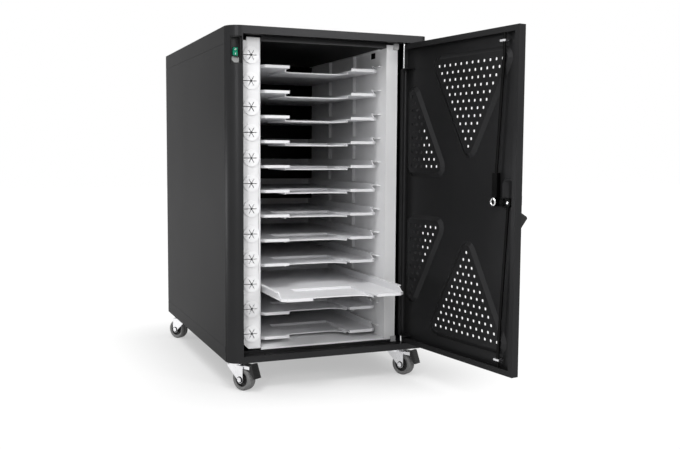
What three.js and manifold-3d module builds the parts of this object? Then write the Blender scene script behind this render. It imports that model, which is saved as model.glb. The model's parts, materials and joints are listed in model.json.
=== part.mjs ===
// Charging cart: a steel cabinet on casters with twelve sliding trays, a cable panel,
// a perforated door with a three-point lock, and a lit mains switch.
// Millimetres, +Z up, the front faces -Y. The origin is the centre of the cabinet's underside.
import * as THREE from 'three';
import { mergeVertices } from 'three/addons/utils/BufferGeometryUtils.js';
import Module from 'manifold-3d';

const wasm = await Module();
wasm.setup();

// Fits
const GAP = 0.3; // between pieces that meet
const EPS = 1; // how far a cutting tool runs past the face it cuts

// Trays
const TRAY_COUNT = 12;
const TRAY_PITCH = 47.4;
const TRAY_WIDTH = 243;
const TRAY_DEPTH = 400;
const TRAY_SHEET = 2;
const TRAY_WALL_HEIGHT = 15; // above the wings' underside
const TRAY_LIP_HEIGHT = 5.5;
const TRAY_CORNER = 9; // chamfer at the front corners
const TRAY_LIP_RUN = 6; // length of the low stretch behind the corner
const TRAY_SLOPE_RUN = 14; // length over which the side wall rises
const TRAY_STEP = 4.5; // the middle channel lies this much lower
const TRAY_CHANNEL_WIDTH = 128;
const TRAY_CHANNEL_DEPTH = 130;
const TRAY_CUTOUT_DEPTH = 48;
const TRAY_CUTOUT_RADIUS = 26;
const TRAY_FLANGE = 4.5;
const TRAY_SIDE_CLEARANCE = 2.5; // flange to inner wall
const TRAY_SETBACK = 24; // tray front behind the cable panel's face
const PULLED_TRAY = 10; // this tray stands open
const PULLED_BY = 133;

// Cabinet
const SHEET = 1.5;
const FRAME_WALL = 2;
const LEFT_CORNER_RADIUS = 27;
const RIGHT_CORNER_RADIUS = 10;
const CORNER_FLAT = 1; // straight stretch after the left corner's round
const RIGHT_POST_WIDTH = 24;
const TOP_RAIL = 14.3;
const SILL = 12;
const TOP_BAND = 31; // height of the top cover's sides
const BASE_BAND = 27; // height of the base pan's sides
const SIDE_PANEL_SHEET = 2.5;
const REAR_PANEL_SHEET = 2;
const REAR_SEAM = 1.3; // above and below the rear panel
const LEFT_COMPARTMENT = 70; // outside to the left inner wall's tray side
const RIGHT_COMPARTMENT = 73;
const REAR_COMPARTMENT = 128; // behind the trays
const LOWEST_TRAY = 25.5;
const HEADROOM = 73.1; // top tray's underside to the top
const FLOOR_TOP = 20;
const FLOOR_SHEET = 3;
const INNER_TOP_MARGIN = 17; // inner walls end this far below the top
const HEADER_DROP = 9; // header lip and ceiling below the top rail

// Cable panel and grommets
const CABLE_PANEL_WIDTH = 34;
const CABLE_PANEL_FOLD = 18;
const CABLE_PANEL_FOLD_RADIUS = 4;
const CABLE_PANEL_NOTCH = 6;
const CABLE_PANEL_CHAMFER = 10;
const GROMMET_FLANGE_RADIUS = 15.8;
const GROMMET_BODY_RADIUS = 13;
const GROMMET_BODY_SIDES = 12; // the hole has the same sides, so the two nest
const GROMMET_FLANGE_THICKNESS = 1.6;
const GROMMET_HOLE_RADIUS = 2.2;
const GROMMET_SLIT = 1.4;
const GROMMET_SLIT_REACH = 10;
const GROMMET_RISE = 23.6; // centre above its tray's underside
const GROMMET_SHIFT = 2; // left of the panel's middle
const ENTRY_SLOT = 3;
const RIB_PLACES = [130, 270]; // behind the tray's front
const RIB_SHEET = 3;
const RUNNER_PLAY = 2; // free height above a tray's flange
const RIGHT_FLANGE_WIDTH = 24;
const WALL_SLOT_SETBACK = 30; // slot at the top of the right wall, behind the trays' front
const WALL_SLOT_LENGTH = 24;
const WALL_SLOT_HEIGHT = 12;
const WALL_SLOT_DROP = 3; // below the ceiling

// Switch
const SWITCH_WIDTH = 19;
const SWITCH_HEIGHT = 49;
const SWITCH_DROP = 19.4; // top of the recess below the top
const SWITCH_FROM_OPENING = 2.2;
const SWITCH_INSET = 4;
const SWITCH_WALL = 1.6;
const SWITCH_POCKET = 12;
const SWITCH_BODY_DEPTH = 22;
const ROCKER_WIDTH = 8.6;
const ROCKER_HEIGHT = 14.5;
const ROCKER_THICKNESS = 6;
const ROCKER_CROWN = 2;
const ROCKER_DROP = 2.4; // below the middle of the recess
const ROCKER_TILT_DEGREES = 7; // pressed in at the bottom: switched on

// Power
const STRIP_WIDTH = 50;
const STRIP_THICKNESS = 34;
const STRIP_LENGTH = 500;
const STRIP_FROM_REAR = 190;
const OUTLET_SIZE = 26;
const OUTLET_DEPTH = 8;
const OUTLET_COUNT = 12;
const INLET_WIDTH = 48;
const INLET_HEIGHT = 28;
const INLET_DEPTH = 24;
const INLET_FLANGE = 5;
const INLET_FLANGE_SHEET = 2;
const INLET_POCKET = 15;
const INLET_RISE = 70;
const INLET_FROM_LEFT = 50;
const VENT_COLUMNS = 3;
const VENT_ROWS = 12;
const VENT_LENGTH = 70;
const VENT_HEIGHT = 5;
const VENT_PITCH = 14;
const VENT_GAP = 26;
const VENT_TOP_DROP = 90;

// Door, measured from its hinge axis
const DOOR_OPEN_DEGREES = 98.5;
const DOOR_THICKNESS = 14;
const DOOR_SHEET = 1.5;
const DOOR_LIP = 10;
const DOOR_SIDE_GAP = 2;
const DOOR_END_GAP = 1.5;
const DOOR_HINGE_OVERHANG = 12;
const DOOR_HINGE_RADIUS = 8;
const HINGE_FROM_OPENING = 17.5; // axis to the right post
const HINGE_PIN_RADIUS = 2.5;
const HINGE_PIN_LENGTH = 52;
const HINGE_PIN_LENGTH_LOWER = 18;
const HINGE_PIN_RISE = 5; // end that stands into the frame
const HINGE_TAB_SHEET = 2;
const HINGE_TAB_WIDTH = 20;
const HINGE_BLOCK_WIDTH = 9.5;
const HINGE_BLOCK_HEIGHT = 11;
const HINGE_BLOCK_DEPTH = 5;

// Door embossing and perforation
const HOLE_RADIUS = 3.2;
const HOLE_SIDES = 6;
const HOLE_PITCH = 16;
const HOLE_ROW_PITCH = 13.5;
const FULL_ROWS = 12;
const FULL_CENTRE = 192; // from the hinge axis
const FULL_TOP_DROP = 51; // first row below the door's top
const HALF_ROWS = 11;
const HALF_SIDE = 19; // first column from the hinge axis
const HALF_RISE = 58; // longest row from the door's mid height
const EMBOSS_RISE = 5;
const EMBOSS_MARGIN = 22;
const EMBOSS_SLOPE = 9;
const EMBOSS_ARC_STEPS = 4;

// Lock
const LOCK_FROM_EDGE = 40.5; // spindle to the door's free edge
const CAM_PIN_RADIUS = 18;
const CAM_WIDTH = 15;
const CAM_THICKNESS = 3;
const CAM_PIN_SIZE = 3.5;
const CAM_PIN_HEIGHT = 1.2;
const SPINDLE_RADIUS = 7;
const ROD_RADIUS = 2.6;
const ROD_LAYER = 4.5; // rod axis in from the door's inner plane
const ROD_PLAY = 1; // round a rod in the door's ends and the frame
const ROD_SLEEVE_WIDTH = 12.4;
const ROD_SLEEVE_DEPTH = 4.4; // from the rod axis toward the skin
const ROD_SLEEVE_LENGTH = 42;
const ROD_END_INSET = 8; // retracted rod tip inside the door's end
const ROD_GUIDE_INSET = 15;
const ROD_GUIDE_WIDTH = 14;
const ROD_GUIDE_HEIGHT = 3.5;
const LOCK_PLATE_WIDTH = 46;
const LOCK_PLATE_HEIGHT = 130;
const LOCK_PLATE_THICKNESS = 5;
const LOCK_PLATE_RISE = 38; // plate top above the spindle
const HANDLE_WIDTH = 40;
const HANDLE_HEAD = 13; // top of the handle above the spindle
const HANDLE_HEAD_DEPTH = 13.5;
const HANDLE_LENGTH = 45; // spindle to the tip
const HANDLE_WAIST_FROM = 6; // the waist runs between these distances below the spindle
const HANDLE_WAIST_TO = 16;
const HANDLE_WAIST_DEPTH = 6.1; // behind the head's face
const HANDLE_CREST_DROP = 26; // crest of the grip below the spindle
const HANDLE_CREST = 13; // crest of the grip out beyond the head's face
const HANDLE_TIP = 3;
const FINGER_GAP = 9; // behind the grip
const HANDLE_EDGE = 1.5; // bevel along the handle's edges

// Casters
const CASTER_INSET_LEFT = 24; // swivel to the cabinet's side, front or rear
const CASTER_INSET_RIGHT = 42;
const CASTER_INSET_FRONT = 34;
const CASTER_INSET_REAR = 72;
const CASTER_HEIGHT = 55;
const CASTER_PLATE = 40;
const CASTER_PLATE_SHEET = 2.2;
const CASTER_TRAIL = 18;
const WHEEL_RADIUS = 22;
const WHEEL_WIDTH = 19;
const WHEEL_BEVEL = 3;
const WHEEL_HUB_RADIUS = 11;
const WHEEL_DISH = 2;
const AXLE_RADIUS = 3;
const AXLE_HEAD_RADIUS = 5;
const AXLE_HEAD = 2;
const FORK_SHEET = 2;
const FORK_HEAD_RADIUS = 15;
const FORK_HEAD_HEIGHT = 6;
const FORK_FOOT_RADIUS = 7;
const FORK_SHOULDER = 13; // half width of the cheeks at the top
const PEDAL_WIDTH = 18;
const PEDAL_ARM = 15; // from the pivot out to the blade
const PEDAL_DROP = 26; // height of the blade
const PEDAL_RISE = 4.5; // top of the blade above the arm
const PEDAL_LEAN = 9; // how far the blade's foot stands out
const PEDAL_THICKNESS = 4;
const PEDAL_PIVOT_RADIUS = 3;
const SWIVELS = { front_left: -58, front_right: -60, rear_left: 126, rear_right: -55 };

// Derived places
const HEIGHT = LOWEST_TRAY + TRAY_PITCH * (TRAY_COUNT - 1) + HEADROOM;
const BAY_WIDTH = TRAY_WIDTH + 2 * (TRAY_FLANGE + TRAY_SIDE_CLEARANCE);
const WIDTH = LEFT_COMPARTMENT + BAY_WIDTH + RIGHT_COMPARTMENT;
const FRAME_DEPTH = LEFT_CORNER_RADIUS + CORNER_FLAT;
const DEPTH = FRAME_DEPTH + TRAY_SETBACK + TRAY_DEPTH + REAR_COMPARTMENT;
const LEFT = -WIDTH / 2;
const RIGHT = WIDTH / 2;
const FRONT = -DEPTH / 2;
const REAR = DEPTH / 2;
const FRAME_BACK = FRONT + FRAME_DEPTH;
const OPENING_LEFT = LEFT + LEFT_CORNER_RADIUS + CORNER_FLAT;
const OPENING_RIGHT = RIGHT - RIGHT_POST_WIDTH;
const OPENING_TOP = HEIGHT - TOP_RAIL;
const OPENING_BOTTOM = SILL;
const BAY_LEFT = LEFT + LEFT_COMPARTMENT;
const BAY_RIGHT = BAY_LEFT + BAY_WIDTH;
const BAY_CENTRE = (BAY_LEFT + BAY_RIGHT) / 2;
const INNER_FRONT = FRAME_BACK + GAP; // face of the cable panel
const INNER_TOP = HEIGHT - INNER_TOP_MARGIN;
const INNER_BOTTOM = FLOOR_TOP + GAP;
const CEILING = OPENING_TOP - HEADER_DROP; // underside of the sheet over the top tray
const TRAY_FRONT = FRAME_BACK + TRAY_SETBACK;
const TRAY_REAR = TRAY_FRONT + TRAY_DEPTH;
const GROMMET_X = BAY_LEFT - CABLE_PANEL_WIDTH / 2 - GROMMET_SHIFT;
const HINGE_X = OPENING_RIGHT - HINGE_FROM_OPENING;
const HINGE_Y = FRONT + DOOR_THICKNESS;
const DOOR_BOTTOM = OPENING_BOTTOM + DOOR_END_GAP;
const DOOR_TOP = OPENING_TOP - DOOR_END_GAP;
const DOOR_MIDDLE = (DOOR_BOTTOM + DOOR_TOP) / 2;
const DOOR_FREE = -(HINGE_X - OPENING_LEFT - DOOR_SIDE_GAP); // free edge, from the hinge axis
const LOCK_FROM_HINGE = -DOOR_FREE - LOCK_FROM_EDGE;
const CASTER_LEFT = CASTER_INSET_LEFT - WIDTH / 2;
const CASTER_RIGHT = WIDTH / 2 - CASTER_INSET_RIGHT;
const CASTER_FRONT = CASTER_INSET_FRONT - DEPTH / 2;
const CASTER_REAR = DEPTH / 2 - CASTER_INSET_REAR;

const trayBottom = (number) => LOWEST_TRAY + TRAY_PITCH * (TRAY_COUNT - number);
const twoDigits = (number) => String(number).padStart(2, '0');

// Materials
function finish(color, roughness, metalness) {
  return new THREE.MeshStandardMaterial({ color, roughness, metalness });
}

const BLACK_PAINT = finish(0x2b2b2d, 0.55, 0.1);
const WHITE_PAINT = finish(0xe6e8ea, 0.5, 0.05);
const TRAY_PLASTIC = finish(0xdcdfe2, 0.45, 0);
const GROMMET_RUBBER = finish(0xe9eaec, 0.7, 0);
const BLACK_PLASTIC = finish(0x161617, 0.45, 0);
const GREEN_LENS = finish(0x0f9a63, 0.25, 0);
const ZINC = finish(0xc4c6c8, 0.3, 0.9);
const BLACK_STEEL = finish(0x1c1c1e, 0.4, 0.4);
const GREY_RUBBER = finish(0x77797b, 0.8, 0);

// Solids
function toSolid(geometry) {
  const bare = geometry.clone();
  bare.deleteAttribute('normal');
  bare.deleteAttribute('uv');
  const merged = mergeVertices(bare, 1e-4);
  const vertProperties = new Float32Array(merged.attributes.position.array);
  const triVerts = new Uint32Array(merged.index.array);
  return new wasm.Manifold(new wasm.Mesh({ numProp: 3, vertProperties, triVerts }));
}

function toGeometry(solid) {
  const mesh = solid.getMesh();
  const geometry = new THREE.BufferGeometry();
  geometry.setAttribute('position', new THREE.BufferAttribute(new Float32Array(mesh.vertProperties), 3));
  geometry.setIndex(new THREE.BufferAttribute(new Uint32Array(mesh.triVerts), 1));
  geometry.computeVertexNormals();
  return geometry;
}

function join(first, ...others) {
  return others.reduce((all, other) => all.add(other), first);
}

function cut(first, ...others) {
  return others.reduce((rest, other) => rest.subtract(other), first);
}

function box([x0, x1], [y0, y1], [z0, z1]) {
  const geometry = new THREE.BoxGeometry(x1 - x0, y1 - y0, z1 - z0);
  geometry.translate((x0 + x1) / 2, (y0 + y1) / 2, (z0 + z1) / 2);
  return toSolid(geometry);
}

// An outline drawn in plan (x, y), raised from z0 to z1
function raise(shape, [z0, z1], curveSegments = 6) {
  const geometry = new THREE.ExtrudeGeometry(shape, { depth: z1 - z0, bevelEnabled: false, curveSegments });
  geometry.translate(0, 0, z0);
  return toSolid(geometry);
}

// An outline drawn from the front (x, z), pushed back from y0 to y1
function push(shape, [y0, y1], curveSegments = 6) {
  const geometry = new THREE.ExtrudeGeometry(shape, { depth: y1 - y0, bevelEnabled: false, curveSegments });
  geometry.rotateX(Math.PI / 2);
  geometry.translate(0, y1, 0);
  return toSolid(geometry);
}

// An outline drawn from the right-hand side (y, z), run from x0 to x1
function run(shape, [x0, x1], curveSegments = 6) {
  const geometry = new THREE.ExtrudeGeometry(shape, { depth: x1 - x0, bevelEnabled: false, curveSegments });
  geometry.rotateX(Math.PI / 2);
  geometry.rotateZ(Math.PI / 2);
  geometry.translate(x0, 0, 0);
  return toSolid(geometry);
}

function polygon(points) {
  return new THREE.Shape(points.map(([a, b]) => new THREE.Vector2(a, b)));
}

// A round bar between two points
function bar(from, to, radius, sides = 12) {
  const start = new THREE.Vector3(...from);
  const end = new THREE.Vector3(...to);
  const along = end.clone().sub(start);
  const geometry = new THREE.CylinderGeometry(radius, radius, along.length(), sides);
  const up = new THREE.Vector3(0, 1, 0);
  const turn = new THREE.Quaternion().setFromUnitVectors(up, along.clone().normalize());
  geometry.applyQuaternion(turn);
  geometry.translate(...start.clone().add(end).multiplyScalar(0.5).toArray());
  return toSolid(geometry);
}

// A skin between two outlines with the same number of points, closed at both ends
function loft(lower, upper, lowerY, upperY) {
  const count = lower.length;
  const positions = [];
  lower.forEach(([x, z]) => positions.push(x, lowerY, z));
  upper.forEach(([x, z]) => positions.push(x, upperY, z));
  const cap = (outline) => THREE.ShapeUtils.triangulateShape(
    outline.map(([x, z]) => new THREE.Vector2(x, z)), []);
  const index = [];
  cap(lower).forEach(([a, b, c]) => index.push(a, b, c));
  cap(upper).forEach(([a, b, c]) => index.push(count + a, count + c, count + b));
  for (let i = 0; i < count; i += 1) {
    const next = (i + 1) % count;
    index.push(i, count + i, next);
    index.push(next, count + i, count + next);
  }
  const geometry = new THREE.BufferGeometry();
  geometry.setAttribute('position', new THREE.Float32BufferAttribute(positions, 3));
  geometry.setIndex(index);
  return toSolid(geometry);
}

const cart = new THREE.Group();

function place(name, solid, material, parent = cart) {
  const mesh = new THREE.Mesh(toGeometry(solid), material);
  mesh.name = name;
  parent.add(mesh);
  return mesh;
}

// Front frame: hollow posts, top rail and sill around the door opening
function frameOutline(inset, back) {
  const leftRadius = LEFT_CORNER_RADIUS - inset;
  const rightRadius = RIGHT_CORNER_RADIUS - inset;
  const shape = new THREE.Shape();
  shape.moveTo(RIGHT - inset, back);
  shape.lineTo(LEFT + inset, back);
  shape.lineTo(LEFT + inset, FRONT + LEFT_CORNER_RADIUS);
  shape.absarc(LEFT + LEFT_CORNER_RADIUS, FRONT + LEFT_CORNER_RADIUS, leftRadius, Math.PI, 1.5 * Math.PI);
  shape.lineTo(RIGHT - RIGHT_CORNER_RADIUS, FRONT + inset);
  shape.absarc(
    RIGHT - RIGHT_CORNER_RADIUS, FRONT + RIGHT_CORNER_RADIUS, rightRadius, 1.5 * Math.PI, 2 * Math.PI);
  return shape;
}

function openingBox(grow) {
  return box(
    [OPENING_LEFT - grow, OPENING_RIGHT + grow],
    [FRONT - EPS, FRAME_BACK + 2 * EPS],
    [OPENING_BOTTOM - grow, OPENING_TOP + grow],
  );
}

const switchRight = OPENING_LEFT - SWITCH_FROM_OPENING;
const switchLeft = switchRight - SWITCH_WIDTH;
const switchTop = HEIGHT - SWITCH_DROP;
const switchBottom = switchTop - SWITCH_HEIGHT;
const rodX = HINGE_X - LOCK_FROM_HINGE;
const rodY = HINGE_Y - ROD_LAYER;

function frontFrame() {
  const outside = raise(frameOutline(0, FRAME_BACK), [0, HEIGHT], 8);
  const inside = raise(frameOutline(FRAME_WALL, FRAME_BACK + EPS), [FRAME_WALL, HEIGHT - FRAME_WALL], 8);
  const hollow = cut(inside, openingBox(FRAME_WALL));
  const switchHole = box(
    [switchLeft, switchRight], [FRONT - EPS, FRAME_BACK - EPS], [switchBottom, switchTop]);
  const hole = (x, y, z, radius, sides) => bar(
    [x, y, z - 2 * FRAME_WALL], [x, y, z + 2 * FRAME_WALL], radius, sides);
  const boltHole = (z) => hole(rodX, rodY, z, ROD_RADIUS + ROD_PLAY, 8);
  const pinHole = (z) => hole(HINGE_X, HINGE_Y, z, HINGE_PIN_RADIUS + GAP, 10);
  const topWall = OPENING_TOP + FRAME_WALL / 2;
  const sillWall = OPENING_BOTTOM - FRAME_WALL / 2;
  const holes = [switchHole, boltHole(topWall), boltHole(sillWall), pinHole(topWall), pinHole(sillWall)];
  return cut(outside, openingBox(0), hollow, ...holes);
}

// Outer shells
function topCover() {
  const bottom = HEIGHT - TOP_BAND;
  const front = FRAME_BACK + GAP;
  const outer = box([LEFT, RIGHT], [front, REAR], [bottom, HEIGHT]);
  const inner = box(
    [LEFT + SHEET, RIGHT - SHEET], [front - EPS, REAR - SHEET], [bottom - EPS, HEIGHT - SHEET]);
  const header = box(
    [BAY_LEFT + GAP, BAY_RIGHT - GAP],
    [front, front + SHEET],
    [CEILING, HEIGHT - SHEET / 2]);
  const ceiling = box(
    [BAY_LEFT + GAP, BAY_RIGHT - GAP],
    [front, TRAY_REAR],
    [CEILING, CEILING + SHEET]);
  return join(cut(outer, inner), header, ceiling);
}

function basePan() {
  const front = FRAME_BACK + GAP;
  const outer = box([LEFT, RIGHT], [front, REAR], [0, BASE_BAND]);
  const inner = box(
    [LEFT + SHEET, RIGHT - SHEET], [front + SHEET, REAR - SHEET], [SHEET, BASE_BAND + EPS]);
  const frontNotch = box(
    [LEFT - EPS, RIGHT + EPS],
    [front - EPS, front + SHEET + EPS],
    [FLOOR_TOP - FLOOR_SHEET - GAP, BASE_BAND + EPS]);
  const plates = casterPlaces().map(({ x, y }) => box(
    [x - CASTER_PLATE / 2, x + CASTER_PLATE / 2],
    [Math.max(y - CASTER_PLATE / 2, front), y + CASTER_PLATE / 2],
    [-CASTER_PLATE_SHEET, SHEET / 2]));
  return join(cut(outer, inner, frontNotch), ...plates);
}

const panelFront = FRAME_BACK + GAP;
const panelRear = REAR - REAR_PANEL_SHEET - GAP;
const panelHeights = [BASE_BAND + GAP, HEIGHT - TOP_BAND - GAP];

function sidePanel(outerX, inward) {
  const span = inward > 0 ? [outerX, outerX + SIDE_PANEL_SHEET] : [outerX - SIDE_PANEL_SHEET, outerX];
  return box(span, [panelFront, panelRear], panelHeights);
}

const inletX = LEFT + INLET_FROM_LEFT;
const inletZ = INLET_RISE;

function rearPanel() {
  const heights = [BASE_BAND + REAR_SEAM, HEIGHT - TOP_BAND - REAR_SEAM];
  const panel = box([LEFT, RIGHT], [REAR - REAR_PANEL_SHEET, REAR], heights);
  const through = [REAR - REAR_PANEL_SHEET - EPS, REAR + EPS];
  const inletHole = box(
    [inletX - INLET_WIDTH / 2, inletX + INLET_WIDTH / 2],
    through,
    [inletZ - INLET_HEIGHT / 2, inletZ + INLET_HEIGHT / 2]);
  const vents = [];
  const firstX = -((VENT_COLUMNS - 1) / 2) * (VENT_LENGTH + VENT_GAP);
  for (let column = 0; column < VENT_COLUMNS; column += 1) {
    for (let row = 0; row < VENT_ROWS; row += 1) {
      const x = firstX + column * (VENT_LENGTH + VENT_GAP);
      const z = HEIGHT - VENT_TOP_DROP - row * VENT_PITCH;
      const span = [x - VENT_LENGTH / 2, x + VENT_LENGTH / 2];
      vents.push(box(span, through, [z - VENT_HEIGHT / 2, z + VENT_HEIGHT / 2]));
    }
  }
  return cut(panel, inletHole, ...vents);
}

function bayFloor() {
  return box(
    [BAY_LEFT, BAY_RIGHT + RIGHT_FLANGE_WIDTH],
    [INNER_FRONT, TRAY_REAR],
    [FLOOR_TOP - FLOOR_SHEET, FLOOR_TOP]);
}

// Inner walls: a ledge under each tray's side flange and under the ceiling, each with upright ribs below
const ledgeTop = (number) => trayBottom(number) + TRAY_STEP + TRAY_WALL_HEIGHT - TRAY_SHEET - GAP;
const ledgeReach = TRAY_SIDE_CLEARANCE + TRAY_FLANGE - 2 * GAP;

function ledges(span) {
  const pieces = [];
  for (let number = 0; number <= TRAY_COUNT; number += 1) {
    const top = number === 0 ? CEILING - GAP : ledgeTop(number);
    pieces.push(box(span, [TRAY_FRONT, TRAY_REAR], [top - SHEET, top]));
    const flangeBelow = ledgeTop(number + 1) + GAP + TRAY_SHEET;
    const foot = number === TRAY_COUNT ? INNER_BOTTOM : flangeBelow + RUNNER_PLAY;
    RIB_PLACES.forEach((place) => {
      const y = TRAY_FRONT + place;
      pieces.push(box(span, [y - RIB_SHEET / 2, y + RIB_SHEET / 2], [foot, top - SHEET / 2]));
    });
  }
  return pieces;
}

function leftTrayWall() {
  const wall = box(
    [BAY_LEFT - SHEET, BAY_LEFT],
    [INNER_FRONT + CABLE_PANEL_FOLD + GAP, TRAY_REAR],
    [INNER_BOTTOM, INNER_TOP]);
  return join(wall, ...ledges([BAY_LEFT - SHEET / 2, BAY_LEFT + ledgeReach]));
}

function rightTrayWall() {
  const heights = [INNER_BOTTOM, INNER_TOP];
  const wall = box([BAY_RIGHT, BAY_RIGHT + SHEET], [INNER_FRONT, TRAY_REAR], heights);
  const flange = box(
    [BAY_RIGHT, BAY_RIGHT + RIGHT_FLANGE_WIDTH], [INNER_FRONT, INNER_FRONT + SHEET], heights);
  const slotFront = TRAY_FRONT + WALL_SLOT_SETBACK;
  const slotTop = CEILING - WALL_SLOT_DROP;
  const slot = box(
    [BAY_RIGHT - EPS, BAY_RIGHT + SHEET + EPS],
    [slotFront, slotFront + WALL_SLOT_LENGTH],
    [slotTop - WALL_SLOT_HEIGHT, slotTop]);
  return cut(join(wall, flange, ...ledges([BAY_RIGHT - ledgeReach, BAY_RIGHT + SHEET / 2])), slot);
}

// Cable panel with a round hole and an entry slot for each bay
const grommetZ = (number) => trayBottom(number) + GROMMET_RISE;

function cablePanel() {
  const left = BAY_LEFT - CABLE_PANEL_WIDTH;
  const fold = CABLE_PANEL_FOLD_RADIUS;
  const back = INNER_FRONT + CABLE_PANEL_FOLD;
  const plan = new THREE.Shape();
  plan.moveTo(left, INNER_FRONT);
  plan.lineTo(BAY_LEFT - fold, INNER_FRONT);
  plan.absarc(BAY_LEFT - fold, INNER_FRONT + fold, fold, -Math.PI / 2, 0);
  plan.lineTo(BAY_LEFT, back);
  plan.lineTo(BAY_LEFT - SHEET, back);
  plan.lineTo(BAY_LEFT - SHEET, INNER_FRONT + fold);
  plan.absarc(BAY_LEFT - fold, INNER_FRONT + fold, fold - SHEET, 0, -Math.PI / 2, true);
  plan.lineTo(left, INNER_FRONT + SHEET);
  const sheet = raise(plan, [INNER_BOTTOM, INNER_TOP], 4);
  const through = [INNER_FRONT - EPS, INNER_FRONT + SHEET + EPS];
  const holes = [];
  for (let number = 1; number <= TRAY_COUNT; number += 1) {
    const z = grommetZ(number);
    const radius = GROMMET_BODY_RADIUS + GAP;
    holes.push(bar([GROMMET_X, through[0], z], [GROMMET_X, through[1], z], radius, GROMMET_BODY_SIDES));
    holes.push(box([left - EPS, GROMMET_X], through, [z - ENTRY_SLOT / 2, z + ENTRY_SLOT / 2]));
  }
  const notch = box(
    [left - EPS, left + CABLE_PANEL_NOTCH], through, [INNER_TOP - CABLE_PANEL_NOTCH, INNER_TOP + EPS]);
  const corner = polygon([
    [left - EPS, INNER_BOTTOM - EPS], [left + CABLE_PANEL_CHAMFER, INNER_BOTTOM - EPS],
    [left - EPS, INNER_BOTTOM + CABLE_PANEL_CHAMFER]]);
  return cut(sheet, notch, push(corner, through), ...holes);
}

function grommet(number) {
  const z = grommetZ(number);
  const front = INNER_FRONT - GAP - GROMMET_FLANGE_THICKNESS;
  const back = INNER_FRONT + SHEET;
  const flange = bar([GROMMET_X, front, z], [GROMMET_X, INNER_FRONT - GAP, z], GROMMET_FLANGE_RADIUS, 16);
  const body = bar(
    [GROMMET_X, INNER_FRONT - 2 * GAP, z], [GROMMET_X, back, z], GROMMET_BODY_RADIUS, GROMMET_BODY_SIDES);
  const slits = [0, 1, 2].map((turn) => {
    const slit = new THREE.BoxGeometry(2 * GROMMET_SLIT_REACH, back - front + 2 * EPS, GROMMET_SLIT);
    slit.rotateY((turn * Math.PI) / 3);
    slit.translate(GROMMET_X, (front + back) / 2, z);
    return toSolid(slit);
  });
  const entry = box(
    [GROMMET_X - GROMMET_FLANGE_RADIUS - EPS, GROMMET_X], [front - EPS, back + EPS],
    [z - GROMMET_SLIT / 2, z + GROMMET_SLIT / 2]);
  const eye = bar([GROMMET_X, front - EPS, z], [GROMMET_X, back + EPS, z], GROMMET_HOLE_RADIUS, 6);
  return cut(join(flange, body), ...slits, entry, eye);
}

// Tray: front edge at y 0, underside of the middle channel at z 0, centred on x 0
function trayOutline() {
  const half = TRAY_WIDTH / 2;
  const cutHalf = TRAY_CHANNEL_WIDTH / 2;
  const roundX = cutHalf - TRAY_CUTOUT_RADIUS;
  const roundY = TRAY_CUTOUT_DEPTH - TRAY_CUTOUT_RADIUS;
  const shape = new THREE.Shape();
  shape.moveTo(-half, TRAY_CORNER);
  shape.lineTo(-half + TRAY_CORNER, 0);
  shape.lineTo(-cutHalf, 0);
  shape.lineTo(-cutHalf, roundY);
  shape.absarc(-roundX, roundY, TRAY_CUTOUT_RADIUS, Math.PI, Math.PI / 2, true);
  shape.lineTo(roundX, TRAY_CUTOUT_DEPTH);
  shape.absarc(roundX, roundY, TRAY_CUTOUT_RADIUS, Math.PI / 2, 0, true);
  shape.lineTo(cutHalf, 0);
  shape.lineTo(half - TRAY_CORNER, 0);
  shape.lineTo(half, TRAY_CORNER);
  shape.lineTo(half, TRAY_DEPTH);
  shape.lineTo(-half, TRAY_DEPTH);
  return shape;
}

// The upstand that runs from the cut-out along the front, round the corner and back to the rear
function trayRim(way) {
  const half = TRAY_WIDTH / 2;
  const channel = TRAY_CHANNEL_WIDTH / 2;
  const t = TRAY_SHEET;
  const slant = t * Math.tan(Math.PI / 8);
  const plan = polygon([
    [channel, 0], [half - TRAY_CORNER, 0], [half, TRAY_CORNER], [half, TRAY_DEPTH], [half - t, TRAY_DEPTH],
    [half - t, TRAY_CORNER + slant], [half - TRAY_CORNER - slant, t], [channel, t]]);
  const low = TRAY_STEP;
  const lip = TRAY_STEP + TRAY_LIP_HEIGHT;
  const top = TRAY_STEP + TRAY_WALL_HEIGHT;
  const rise = TRAY_CORNER + TRAY_LIP_RUN;
  const side = polygon([
    [-EPS, low], [TRAY_DEPTH + EPS, low], [TRAY_DEPTH + EPS, top],
    [rise + TRAY_SLOPE_RUN, top], [rise, lip], [-EPS, lip]]);
  const rim = raise(plan, [low, top]).intersect(run(side, [0, half + EPS]));
  return way > 0 ? rim : rim.mirror([1, 0, 0]);
}

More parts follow.
